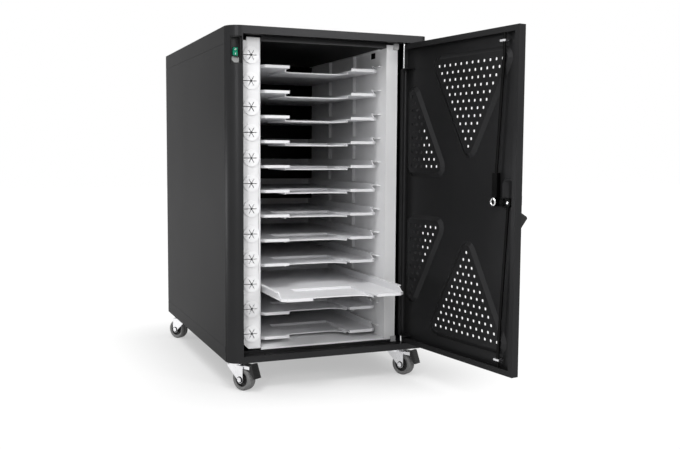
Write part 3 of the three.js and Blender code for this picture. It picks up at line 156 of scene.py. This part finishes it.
PAINT = surface(
    "black_powder_coat", grey(0.027, 1.03), grey(0.031, 1.03), (0.32, 0.40), metal=0.6,
    grain=650, depth=0.00003, specular=0.05, edge=0.34)
WHITE = surface(
    "white_powder_coat", grey(0.76, 1.01), grey(0.82, 1.01), (0.40, 0.52), grain=650, depth=0.00004)
TRAY = surface("tray_plastic", grey(0.74, 1.02), grey(0.80, 1.02), (0.36, 0.50), grain=1400, depth=0.00003)
GROMMET = surface(
    "grommet_rubber", grey(0.82, 1.01), grey(0.87, 1.01), (0.50, 0.65), grain=900, depth=0.00004)
PLASTIC = surface(
    "black_plastic", grey(0.012), grey(0.018), (0.38, 0.55), grain=1600, depth=0.00005, specular=0.25)
ZINC = surface(
    "zinc_plate", grey(0.80, 1.02), grey(0.90, 1.02), (0.24, 0.40), metal=1.0,
    cloud=60, grain=500, depth=0.00002, stretch=(1, 1, 0.12))
CHROME = surface(
    "chrome_plate", grey(0.84), grey(0.90), (0.08, 0.16), metal=1.0, cloud=40, grain=300, depth=0.000005)
STEEL = surface(
    "black_steel", grey(0.008), grey(0.012), (0.30, 0.45), metal=0.8,
    grain=500, depth=0.00003, specular=0.06, edge=0.4)
CAST = surface(
    "cast_zinc", grey(0.36, 1.01), grey(0.44, 1.01), (0.45, 0.60), cloud=60, grain=800, depth=0.00003)
RUBBER = surface("wheel_rubber", grey(0.12), grey(0.16), (0.55, 0.75), cloud=40, grain=1100, depth=0.00006)
MARK = surface("mark_white", grey(0.78), grey(0.84), (0.35, 0.5), grain=1500, depth=0.00001)
# Scoop under the rocker: glossy, and pale grey as a painted highlight of its lip, which faces up into the
# light
SCOOP_PAINTED_HIGHLIGHT = surface("scoop_gloss_painted_highlight", grey(0.22), grey(0.27), (0.14, 0.24), cloud=30, grain=1500, depth=0.00001)


def green_lens():
    material, tree, shader, coords = new_material("green_lens")
    clouds = add_noise(tree, coords, scale=120.0, detail=2.0)
    green = add_ramp(tree, clouds.outputs["Fac"], (0.001, 0.12, 0.065), (0.002, 0.17, 0.095))
    tree.links.new(green, shader.inputs["Base Color"])
    tree.links.new(green, shader.inputs["Emission Color"])
    shader.inputs["Emission Strength"].default_value = 0.2
    shader.inputs["Roughness"].default_value = 0.25
    shader.inputs["Specular IOR Level"].default_value = 0.15
    return material


LENS = green_lens()


# Mesh helpers
def from_bmesh(name, mesh, materials, body, smooth=35.0):
    """Makes a piece that rides on a body, with edges sharp above the angle smooth, in degrees."""
    bmesh.ops.recalc_face_normals(mesh, faces=mesh.faces)
    data = bpy.data.meshes.new(name)
    mesh.to_mesh(data)
    mesh.free()
    obj = bpy.data.objects.new(name, data)
    scene.collection.objects.link(obj)
    for material in materials:
        data.materials.append(material)
    data.shade_smooth()
    data.set_sharp_from_angle(angle=math.radians(smooth))
    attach(obj, body)
    return obj


FLAT_WITHIN = math.radians(0.5)
SHARP_FROM = math.radians(40)


def soften(obj, width):
    """Rounds the sharp edges of a piece that is made of flat faces, by a width in mm."""
    merge = obj.modifiers.new("merge", "DECIMATE")
    merge.decimate_type = "DISSOLVE"
    merge.angle_limit = FLAT_WITHIN
    bevel = obj.modifiers.new("bevel", "BEVEL")
    bevel.width = width * MM
    bevel.segments = 2
    bevel.limit_method = "ANGLE"
    bevel.angle_limit = SHARP_FROM
    bevel.harden_normals = True
    bevel.use_clamp_overlap = True


def frame_matrix(origin, axis, side=None):
    """A frame whose z runs along axis and whose x leans to side."""
    z = Vector(axis).normalized()
    x = Vector(side) if side else z.orthogonal()
    x = (x - z * x.dot(z)).normalized()
    y = z.cross(x)
    matrix = Matrix((x, y, z)).transposed().to_4x4()
    matrix.translation = Vector(origin)
    return matrix


def lathe_mesh(mesh, profile, matrix, steps, material=0):
    """Adds a turned body: profile is (radius, height) in mm, closed at the axis where radius is 0."""
    rings = []
    for radius, height in profile:
        if radius == 0:
            rings.append([mesh.verts.new(matrix @ Vector((0, 0, height * MM)))])
            continue
        ring = []
        for i in range(steps):
            angle = 2 * math.pi * i / steps
            point = Vector((radius * math.cos(angle), radius * math.sin(angle), height)) * MM
            ring.append(mesh.verts.new(matrix @ point))
        rings.append(ring)
    for lower, upper in zip(rings, rings[1:]):
        for i in range(steps):
            j = (i + 1) % steps
            corners = [
                lower[i % len(lower)], lower[j % len(lower)],
                upper[j % len(upper)], upper[i % len(upper)]]
            unique = list(dict.fromkeys(corners))
            if len(unique) > 2:
                face = mesh.faces.new(unique)
                face.material_index = material


def prism_mesh(mesh, outline, low, high, matrix, material=0):
    """Adds an outline in mm, raised from low to high along the frame's z."""
    bottom = [mesh.verts.new(matrix @ (Vector((x, y, low)) * MM)) for x, y in outline]
    top = [mesh.verts.new(matrix @ (Vector((x, y, high)) * MM)) for x, y in outline]
    faces = [mesh.faces.new(list(reversed(bottom))), mesh.faces.new(top)]
    count = len(outline)
    for i in range(count):
        j = (i + 1) % count
        faces.append(mesh.faces.new((bottom[i], bottom[j], top[j], top[i])))
    for face in faces:
        face.material_index = material


def skin_mesh(mesh, rows):
    """Joins rows of points with bands of faces and closes both ends."""
    for first, second in zip(rows, rows[1:]):
        count = len(first)
        for i in range(count):
            j = (i + 1) % count
            mesh.faces.new((first[i], first[j], second[j], second[i]))
    mesh.faces.new(list(reversed(rows[0])))
    mesh.faces.new(rows[-1])


def rounded(width, height, radius, steps):
    """A rectangle with round corners, centred on 0, in mm."""
    points = []
    for corner in range(4):
        cx = (width / 2 - radius) * (1 if corner in (0, 3) else -1)
        cy = (height / 2 - radius) * (1 if corner in (0, 1) else -1)
        for step in range(steps + 1):
            angle = math.pi / 2 * (corner + step / steps)
            points.append((cx + radius * math.cos(angle), cy + radius * math.sin(angle)))
    return points


def screw_head(mesh, origin, axis, radius):
    """Adds a low round head with a round recess."""
    profile = [
        (radius, 0), (radius, 0.5), (radius * 0.9, 1.1), (radius * 0.6, 1.6), (radius * 0.42, 1.75),
        (radius * 0.34, 0.9), (0, 0.7)]
    lathe_mesh(mesh, profile, frame_matrix(origin, axis), steps=16)


# Carried-over nodes: finish and edge rounding in mm
FINISH = {
    "front_frame": (PAINT, 0.9), "top_cover": (PAINT, 0.8), "base_pan": (PAINT, 0.8),
    "left_side_panel": (PAINT, 0.7), "right_side_panel": (PAINT, 0.7), "rear_panel": (PAINT, 0.5),
    "bay_floor": (WHITE, 0.6), "left_tray_wall": (WHITE, 0.4), "right_tray_wall": (WHITE, 0.5),
    "cable_panel": (WHITE, 0.5), "power_strip": (PLASTIC, 0.8), "power_inlet": (PLASTIC, 0.8),
    "switch_housing": (PLASTIC, 0.5), "power_rocker": (LENS, 0.6), "hinge_block_upper": (CAST, 0.3),
    "hinge_block_lower": (CAST, 0.3), "door_panel": (PAINT, 0.5), "hinge_pin_upper": (CHROME, 0.4),
    "hinge_pin_lower": (CHROME, 0.4), "rod_guide_upper": (ZINC, 0.5), "rod_guide_lower": (ZINC, 0.5),
    "upper_rod": (STEEL, 0.3), "lower_rod": (STEEL, 0.3), "lock_plate": (PLASTIC, 0.9),
    "lock_cam": (STEEL, 0.5), "swing_handle": (PLASTIC, 1.4),
}
TRAYS = 12
for number in range(1, TRAYS + 1):
    FINISH["tray_%02d" % number] = (TRAY, 0.7)
    FINISH["grommet_%02d" % number] = (GROMMET, 0.35)
BRAKED_CASTERS = ("front_left", "front_right")
CASTERS = BRAKED_CASTERS + ("rear_left", "rear_right")
for place in CASTERS:
    FINISH["caster_fork_" + place] = (ZINC, 0.6)
    FINISH["caster_wheel_" + place] = (RUBBER, 0.8)
for place in BRAKED_CASTERS:
    FINISH["brake_pedal_" + place] = (PLASTIC, 0.8)

for name, (material, rounding) in FINISH.items():
    node = nodes[name]
    node.data.materials.clear()
    node.data.materials.append(material)
    soften(node, rounding)


# Casters: tread, hub and spokes, axle washers, ribs and metal lever of the brake pedals
def mirrored(half):
    """A closed turned outline from its half on one side of the wheel's middle."""
    return half + [(radius, -height) for radius, height in reversed(half)] + half[:1]


TREAD = mirrored([
    (14.4, -8.6), (15.8, -9.5), (19.1, -9.5), (21.1, -8.1), (22, -5.7), (22, -2.3), (21.6, -2)])
HUB = mirrored([
    (3.4, -7.8), (6.6, -7.8), (7.1, -7.2), (7.4, -5.5), (12.5, -5.5), (13.2, -8), (14.6, -8.4)])
SPOKES = 5
SPOKE = [(7, -0.9), (13.1, -1.2), (13.1, 1.2), (7, 0.9)]
SPOKE_DEPTHS = (5.3, 7.0)
# Points of a wheel closer than this become one, in metres
WELD = 1e-6
# The pedal's outer face runs between these points, ahead of the pivot and up, in mm
PEDAL_FACE_TOP = (15.0, 7.5)
PEDAL_FACE_FOOT = (24.0, -18.5)
PEDAL_RIBS = 6
PEDAL_RIB = rounded(14.5, 1.9, 0.8, steps=3)
PEDAL_RIB_HEIGHTS = (-0.4, 0.9)
# Room above the first rib and below the last, in pitches between ribs
RIB_ROOM_ABOVE = 0.9
RIB_ROOM_BELOW = 0.7
# Side view of the metal lever over the pedal's arm, ahead of the pivot and up
LEVER = [(-3.4, -2.6), (10.6, -2.6), (10.6, 3.5), (-3.4, 3.5)]
LEVER_HALF_WIDTH = 9.5
# From the wheel's middle to the outside of the fork
FORK_FACE = 12.5
WASHER = [(4.6, -0.2), (4.6, 0.5), (6.3, 0.4), (6.3, -0.2)]


def caster_wheel(place):
    joint = JOINT["wheel_%s_roll" % place]
    matrix = frame_matrix(joint["pos_m"], joint["axis"], (0, 0, 1))
    mesh = bmesh.new()
    lathe_mesh(mesh, TREAD, matrix, steps=48)
    lathe_mesh(mesh, HUB, matrix, steps=40, material=1)
    for side in (-1, 1):
        for spoke in range(SPOKES):
            turn = Matrix.Rotation(2 * math.pi * spoke / SPOKES, 4, "Z")
            low, high = sorted(side * depth for depth in SPOKE_DEPTHS)
            prism_mesh(mesh, SPOKE, low, high, matrix @ turn, material=1)
    bmesh.ops.remove_doubles(mesh, verts=mesh.verts, dist=WELD)
    wheel = from_bmesh("caster_wheel_detail_" + place, mesh, [RUBBER, PLASTIC], "wheel_" + place)
    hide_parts("caster_wheel_" + place)


def brake_pedal(place):
    joint = JOINT["brake_%s_press" % place]
    axis = Vector(joint["axis"])
    ahead = Vector((axis.y, -axis.x, 0))
    top = ahead * PEDAL_FACE_TOP[0] + UP * PEDAL_FACE_TOP[1]
    foot = ahead * PEDAL_FACE_FOOT[0] + UP * PEDAL_FACE_FOOT[1]
    down = (foot - top).normalized()
    length = (foot - top).length
    outward = axis.cross(down)
    if outward.dot(ahead) < 0:
        outward = -outward
    mesh = bmesh.new()
    for rib in range(PEDAL_RIBS):
        share = (rib + RIB_ROOM_ABOVE) / (PEDAL_RIBS - 1 + RIB_ROOM_ABOVE + RIB_ROOM_BELOW)
        origin = Vector(joint["pos_m"]) + (top + down * length * share) * MM
        prism_mesh(mesh, PEDAL_RIB, *PEDAL_RIB_HEIGHTS, frame_matrix(origin, outward, axis))
    from_bmesh("pedal_ribs_" + place, mesh, [PLASTIC], "brake_" + place)
    shell = bmesh.new()
    matrix = frame_matrix(joint["pos_m"], -axis, ahead)
    prism_mesh(shell, LEVER, -LEVER_HALF_WIDTH, LEVER_HALF_WIDTH, matrix)
    from_bmesh("brake_lever_" + place, shell, [ZINC], "brake_" + place)


def axle_washers(place):
    joint = JOINT["wheel_%s_roll" % place]
    axis = Vector(joint["axis"])
    mesh = bmesh.new()
    for side in (-1, 1):
        origin = Vector(joint["pos_m"]) + axis * (side * FORK_FACE * MM)
        lathe_mesh(mesh, WASHER, frame_matrix(origin, axis * side), steps=24)
    from_bmesh("axle_washers_" + place, mesh, [STEEL], "swivel_" + place)


for place in CASTERS:
    caster_wheel(place)
    axle_washers(place)
for place in BRAKED_CASTERS:
    brake_pedal(place)

# Lock inside the door: pressed boss, cam nut and pin heads; each place in mm as at_door takes it
DOOR_SKIN_OUT = 12.5
CAM_FACE_OUT = 9.2
ROD_FACE_OUT = 1.9
CAM_REACH = 18.0
BOSS_ALONG = 8.0
BOSS_RISE = 14.0
# Length, width, corner radius and rise of each line round the boss
BOSS_LINES = [
    (54, 32, 12, -0.3), (54, 32, 12, 0.4), (52, 30, 11, 1.6), (49, 27, 10, 1.9), (46, 24, 9, 1.5),
    (43, 21, 8, 0.3)]
NUT_RADIUS = 6.3
NUT_HEIGHTS = (0.7, 4.2)


def lock_boss():
    mesh = bmesh.new()
    matrix = frame_matrix(at_door(BOSS_ALONG, DOOR_SKIN_OUT, BOSS_RISE), -OUTWARD, UP)
    rows = []
    for length, width, radius, rise in BOSS_LINES:
        outline = rounded(length, width, radius, steps=5)
        rows.append([mesh.verts.new(matrix @ (Vector((x, y, rise)) * MM)) for x, y in outline])
    skin_mesh(mesh, rows)
    from_bmesh("lock_boss", mesh, [PAINT], "door", smooth=50.0)


def cam_nut():
    mesh = bmesh.new()
    matrix = frame_matrix(at_door(0, CAM_FACE_OUT, 0), -OUTWARD)
    washer = [(0, -0.3), (8.2, -0.3), (8.2, 0.5), (7.8, 0.9), (0, 0.9)]
    stud = [(3.4, 4.0), (3.4, 5.0), (3.0, 5.4), (0, 5.4)]
    angles = [math.pi / 3 * corner for corner in range(6)]
    hexagon = [(NUT_RADIUS * math.cos(angle), NUT_RADIUS * math.sin(angle)) for angle in angles]
    lathe_mesh(mesh, washer, matrix, steps=28)
    prism_mesh(mesh, hexagon, *NUT_HEIGHTS, matrix)
    lathe_mesh(mesh, stud, matrix, steps=20)
    from_bmesh("cam_nut", mesh, [STEEL], "lock")


def pin_head_upper():
    mesh = bmesh.new()
    matrix = frame_matrix(at_door(-CAM_REACH, ROD_FACE_OUT, 0), -OUTWARD)
    ring = [(4.2, -0.2), (4.2, 1.0), (4.8, 1.7), (6.4, 1.7), (7.1, 0.9), (7.1, -0.2), (4.2, -0.2)]
    head = [(4.4, 0.2), (3.4, 0.5), (1.2, 0.9), (0, 0.9)]
    lathe_mesh(mesh, ring, matrix, steps=32)
    lathe_mesh(mesh, head, matrix, steps=24, material=1)
    from_bmesh("pin_head_upper", mesh, [CHROME, STEEL], "top_bolt")


def pin_head_lower():
    mesh = bmesh.new()
    matrix = frame_matrix(at_door(CAM_REACH, ROD_FACE_OUT, 0), -OUTWARD)
    profile = [(0, -0.2), (2.7, -0.2), (2.7, 0.6), (2.2, 1.1), (0.9, 1.3), (0, 1.3)]
    lathe_mesh(mesh, profile, matrix, steps=24)
    from_bmesh("pin_head_lower", mesh, [CHROME], "bottom_bolt")


lock_boss()
cam_nut()
pin_head_upper()
pin_head_lower()

# Lock outside the door: key cylinder
PLATE_OUT = 19.3
KEY_RISE = 29.0
KEY_SLOT = rounded(5.6, 1.3, 0.6, steps=3)
KEY_SLOT_HEIGHTS = (1.6, 2.08)


def key_cylinder():
    mesh = bmesh.new()
    matrix = frame_matrix(at_door(0, PLATE_OUT, KEY_RISE), OUTWARD, UP)
    profile = [
        (7.4, -0.3), (7.4, 0.8), (6.9, 1.5), (5.8, 1.9), (5.4, 1.2), (5.0, 1.2), (4.7, 2.0), (0, 2.0)]
    lathe_mesh(mesh, profile, matrix, steps=36)
    prism_mesh(mesh, KEY_SLOT, *KEY_SLOT_HEIGHTS, matrix, material=1)
    from_bmesh("key_cylinder", mesh, [CHROME, PLASTIC], "door")


key_cylinder()

# Switch: glossy scoop under the rocker, with its pale grey a painted highlight of the lip lit from above,
# and the marks on the rocker
SWITCH_LOW, SWITCH_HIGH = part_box("switch_housing")
SCOOP_SIDE = 1.7 * MM
SCOOP_FLOOR = 1.35 * MM
SCOOP_DEPTH = 11.8 * MM
SCOOP_RISE = 0.35 * MM
SCOOP_BULGE = 0.25 * MM
SCOOP_TAPER = 3.5 * MM
SCOOP_SHEET = 0.5 * MM
SCOOP_STEPS = 6


def switch_scoop():
    left = SWITCH_LOW[0] + SCOOP_SIDE
    right_edge = SWITCH_HIGH[0] - SCOOP_SIDE
    front = SWITCH_LOW[1]
    bottom = SWITCH_LOW[2] + SCOOP_FLOOR
    mesh = bmesh.new()
    rows = []
    for step in range(SCOOP_STEPS + 1):
        share = step / SCOOP_STEPS
        y = front + SCOOP_DEPTH * share
        z = bottom + SCOOP_DEPTH * share + SCOOP_RISE + SCOOP_BULGE * math.sin(math.pi * share)
        inset = SCOOP_TAPER * (1 - share) ** 3
        low, high = left + inset, right_edge - inset
        corners = ((low, 0), (high, 0), (high, -SCOOP_SHEET), (low, -SCOOP_SHEET))
        rows.append([mesh.verts.new((x, y, z + drop)) for x, drop in corners])
    skin_mesh(mesh, rows)
    from_bmesh("switch_scoop", mesh, [SCOOP_PAINTED_HIGHLIGHT], "cabinet")


switch_scoop()

# Rocker: tilt at rest, then in mm its half height, its face ahead of the pivot and the dish of that face
ROCKER = JOINT["rocker_tilt"]
ROCKER_TILT = math.radians(7)
ROCKER_HALF = 7.25
ROCKER_FACE = 3.0
ROCKER_DISH = 2.0
MARK_RISE = 3.9
MARK_HEIGHTS = (-0.1, 0.12)
MARK_BAR = rounded(0.9, 3.2, 0.4, steps=2)
MARK_RING_RADII = (1.1, 1.7)


def rocker_frame(height):
    """On the rocker's face, height above its middle in mm, with y up the face."""
    y = -ROCKER_FACE - ROCKER_DISH * abs(height) / ROCKER_HALF
    slope = math.copysign(math.atan2(ROCKER_DISH, ROCKER_HALF), height)
    tilt = Matrix.Rotation(ROCKER_TILT, 4, "X")
    origin = Vector(ROCKER["pos_m"]) + tilt @ (Vector((0, y, height)) * MM)
    normal = tilt @ Vector((0, -math.cos(slope), -math.sin(slope)))
    return frame_matrix(origin, normal, (1, 0, 0))


def rocker_marks():
    mesh = bmesh.new()
    prism_mesh(mesh, MARK_BAR, *MARK_HEIGHTS, rocker_frame(-MARK_RISE))
    inner, outer = MARK_RING_RADII
    low, high = MARK_HEIGHTS
    ring = [(inner, low), (inner, high), (outer, high), (outer, low), (inner, low)]
    lathe_mesh(mesh, ring, rocker_frame(MARK_RISE), steps=24)
    from_bmesh("rocker_marks", mesh, [MARK], "rocker")


rocker_marks()

# Rear: a pressed hood over each vent, panel screws, inlet pins and screws
VENT_X = (-96.0, 0.0, 96.0)
VENT_TOP = 530.0
VENT_PITCH = 14.0
VENT_ROWS = 12
# Side view of a hood, up and outward, and half its length
HOOD = [(-3.4, -0.2), (-3.4, 5.2), (-2.6, 5.2), (5.0, 0.6), (5.0, -0.2)]
HOOD_HALF = 36.5
# Panel screws to the panel's edges
SCREW_INSET_X = 10 * MM
SCREW_INSET_Z = 12 * MM
SCREW_RADIUS = 3.2
# Inlet pins, across and up from the socket's middle, and its screws
PIN_PLACES = ((-9, -1.5), (9, -1.5), (0, 2.5))
PIN = rounded(6, 2.2, 0.6, steps=2)
PIN_ROOT = 15.2
PIN_LENGTH = 11.5
INLET_SCREW_ACROSS = 26.3
INLET_SCREW_RADIUS = 2.1


def vent_hoods():
    _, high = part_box("rear_panel")
    mesh = bmesh.new()
    outline = [(up, -out) for up, out in HOOD]
    for x in VENT_X:
        for row in range(VENT_ROWS):
            z = VENT_TOP - row * VENT_PITCH
            origin = (x * MM, high[1], z * MM)
            matrix = frame_matrix(origin, (1, 0, 0), (0, 0, 1))
            prism_mesh(mesh, outline, -HOOD_HALF, HOOD_HALF, matrix)
    from_bmesh("vent_hoods", mesh, [PAINT], "cabinet")


def rear_screws():
    low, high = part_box("rear_panel")
    mesh = bmesh.new()
    middle = (low[2] + high[2]) / 2
    foot, head = low[2] + SCREW_INSET_Z, high[2] - SCREW_INSET_Z
    for x in (low[0] + SCREW_INSET_X, high[0] - SCREW_INSET_X):
        for z in (foot, (low[2] + middle) / 2, middle, (high[2] + middle) / 2, head):
            screw_head(mesh, (x, high[1], z), (0, 1, 0), SCREW_RADIUS)
    for z in (foot, head):
        screw_head(mesh, (0, high[1], z), (0, 1, 0), SCREW_RADIUS)
    from_bmesh("rear_screws", mesh, [ZINC], "cabinet")


def inlet_pins():
    low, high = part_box("power_inlet")
    x = (low[0] + high[0]) / 2
    z = (low[2] + high[2]) / 2
    mesh = bmesh.new()
    for across, rise in PIN_PLACES:
        root = (x + across * MM, high[1] - PIN_ROOT * MM, z + rise * MM)
        matrix = frame_matrix(root, (0, 1, 0), (0, 0, 1))
        prism_mesh(mesh, PIN, 0, PIN_LENGTH, matrix)
    for across in (-INLET_SCREW_ACROSS, INLET_SCREW_ACROSS):
        screw_head(mesh, (x + across * MM, high[1], z), (0, 1, 0), INLET_SCREW_RADIUS)
    from_bmesh("inlet_pins", mesh, [ZINC], "cabinet")


vent_hoods()
rear_screws()
inlet_pins()

# Screws of the swivel plates, from the swivel's axis and at least this far behind the pan's front edge
PLATE_SCREW = 15.5 * MM
PLATE_SCREW_EDGE = 4 * MM
PLATE_SCREW_RADIUS = 2.4


def caster_screws():
    mesh = bmesh.new()
    low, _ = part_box("base_pan")
    for place in CASTERS:
        x, y, _ = JOINT["swivel_%s_turn" % place]["pos_m"]
        for across in (-PLATE_SCREW, PLATE_SCREW):
            for along in (-PLATE_SCREW, PLATE_SCREW):
                if y + along > low[1] + PLATE_SCREW_EDGE:
                    screw_head(mesh, (x + across, y + along, low[2]), (0, 0, -1), PLATE_SCREW_RADIUS)
    from_bmesh("caster_screws", mesh, [ZINC], "cabinet")


caster_screws()

# Floor and light
FLOOR_Z = cad_low[2]
FLOOR_HALF = 9.0
floor_mesh = bpy.data.meshes.new("floor")
floor_corners = [
    (x * FLOOR_HALF, y * FLOOR_HALF, FLOOR_Z) for x, y in ((-1, -1), (1, -1), (1, 1), (-1, 1))]
floor_mesh.from_pydata(floor_corners, [], [(0, 1, 2, 3)])
floor = bpy.data.objects.new("floor", floor_mesh)
scene.collection.objects.link(floor)


def backdrop_ray(tree):
    """1 for camera, glossy and transmission rays."""
    path = tree.nodes.new("ShaderNodeLightPath")
    first = tree.nodes.new("ShaderNodeMath")
    first.operation = "MAXIMUM"
    tree.links.new(path.outputs["Is Camera Ray"], first.inputs[0])
    tree.links.new(path.outputs["Is Glossy Ray"], first.inputs[1])
    second = tree.nodes.new("ShaderNodeMath")
    second.operation = "MAXIMUM"
    tree.links.new(first.outputs[0], second.inputs[0])
    tree.links.new(path.outputs["Is Transmission Ray"], second.inputs[1])
    return second.outputs[0]


# Half sides of the ground under the cart, and how far beyond it the floor turns white, in metres
FOOTPRINT = (0.16, 0.25, 0.0)
WHITE_FROM = 0.28
# Share of plain white in the floor under the cart, and strength of that white
WHITE_UNDER = 0.35
FLOOR_WHITE = 1.05


def floor_material():
    """Matte near the cart, so that shadows show, and plain white further off."""
    material = bpy.data.materials.new("pale_floor")
    material.use_nodes = True
    tree = material.node_tree
    shader = tree.nodes["Principled BSDF"]
    shader.inputs["Base Color"].default_value = (0.80, 0.80, 0.80, 1)
    shader.inputs["Roughness"].default_value = 0.9
    shader.inputs["Specular IOR Level"].default_value = 0.0
    glow = tree.nodes.new("ShaderNodeEmission")
    glow.inputs["Strength"].default_value = FLOOR_WHITE
    coords = tree.nodes.new("ShaderNodeTexCoord")
    source = coords.outputs["Object"]
    for operation, amount in (("ABSOLUTE", None), ("SUBTRACT", FOOTPRINT), ("MAXIMUM", (0, 0, 0))):
        step = tree.nodes.new("ShaderNodeVectorMath")
        step.operation = operation
        tree.links.new(source, step.inputs[0])
        if amount:
            step.inputs[1].default_value = amount
        source = step.outputs["Vector"]
    distance = tree.nodes.new("ShaderNodeVectorMath")
    distance.operation = "LENGTH"
    tree.links.new(source, distance.inputs[0])
    far = tree.nodes.new("ShaderNodeMapRange")
    far.interpolation_type = "SMOOTHSTEP"
    far.inputs["From Min"].default_value = 0.0
    far.inputs["From Max"].default_value = WHITE_FROM
    far.inputs["To Min"].default_value = WHITE_UNDER
    far.inputs["To Max"].default_value = 1.0
    tree.links.new(distance.outputs["Value"], far.inputs["Value"])
    share = tree.nodes.new("ShaderNodeMath")
    share.operation = "MULTIPLY"
    tree.links.new(backdrop_ray(tree), share.inputs[0])
    tree.links.new(far.outputs["Result"], share.inputs[1])
    mix = tree.nodes.new("ShaderNodeMixShader")
    tree.links.new(share.outputs[0], mix.inputs[0])
    tree.links.new(shader.outputs[0], mix.inputs[1])
    tree.links.new(glow.outputs[0], mix.inputs[2])
    tree.links.new(mix.outputs[0], tree.nodes["Material Output"].inputs["Surface"])
    return material


floor_mesh.materials.append(floor_material())

# World: light on the object, and white where the backdrop is seen or mirrored
ROOM_LIGHT = 0.32
BACKDROP_LIGHT = 1.0
world = bpy.data.worlds.new("studio")
scene.world = world
world.use_nodes = True
world_tree = world.node_tree
sky = world_tree.nodes["Background"]
sky.inputs["Color"].default_value = (1, 1, 1, 1)
level = world_tree.nodes.new("ShaderNodeMapRange")
level.inputs["To Min"].default_value = ROOM_LIGHT
level.inputs["To Max"].default_value = BACKDROP_LIGHT
world_tree.links.new(backdrop_ray(world_tree), level.inputs["Value"])
world_tree.links.new(level.outputs["Result"], sky.inputs["Strength"])


def add_lamp(name, place, target, width, height, watts):
    lamp = bpy.data.lights.new(name, "AREA")
    lamp.shape = "RECTANGLE"
    lamp.size = width
    lamp.size_y = height
    lamp.energy = watts
    obj = bpy.data.objects.new(name, lamp)
    scene.collection.objects.link(obj)
    obj.location = place
    obj.rotation_euler = (Vector(target) - Vector(place)).to_track_quat("-Z", "Y").to_euler()


add_lamp("key", (-0.8, -1.4, 2.1), (0, -0.25, 0.4), width=0.8, height=0.8, watts=23)
add_lamp("strip", (-1.0, -1.7, 0.95), (-0.18, -0.28, 0.4), width=0.2, height=1.2, watts=9)
add_lamp("fill", (0.95, -2.6, 1.25), (0.0, -0.3, 0.5), width=0.6, height=0.6, watts=17)
add_lamp("top", (0.0, 0.1, 2.4), (0, 0.1, 0.5), width=1.8, height=1.8, watts=22)
add_lamp("rim", (-1.2, 0.75, 0.2), (0.2, -0.5, 0.2), width=0.8, height=0.3, watts=6)

# Camera at the photograph's place
CAMERA_PLACE = Vector((-0.6046, -1.8209, 0.3911))
CAMERA_LENS = 45.8
CAMERA_SENSOR = 36.0
YAW = math.radians(22.16)
PITCH = math.radians(4.72)
ROLL = math.radians(0.35)
forward = Vector((math.sin(YAW) * math.cos(PITCH), math.cos(YAW) * math.cos(PITCH), -math.sin(PITCH)))
right = Vector((math.cos(YAW), -math.sin(YAW), 0))
upward = right.cross(forward)
right, upward = (
    right * math.cos(ROLL) + upward * math.sin(ROLL),
    upward * math.cos(ROLL) - right * math.sin(ROLL),
)
camera_data = bpy.data.cameras.new("camera")
camera_data.sensor_width = CAMERA_SENSOR
camera_data.lens = CAMERA_LENS
camera = bpy.data.objects.new("camera", camera_data)
scene.collection.objects.link(camera)
camera_matrix = Matrix((right, upward, -forward)).transposed().to_4x4()
camera_matrix.translation = CAMERA_PLACE
camera.matrix_world = camera_matrix
scene.camera = camera
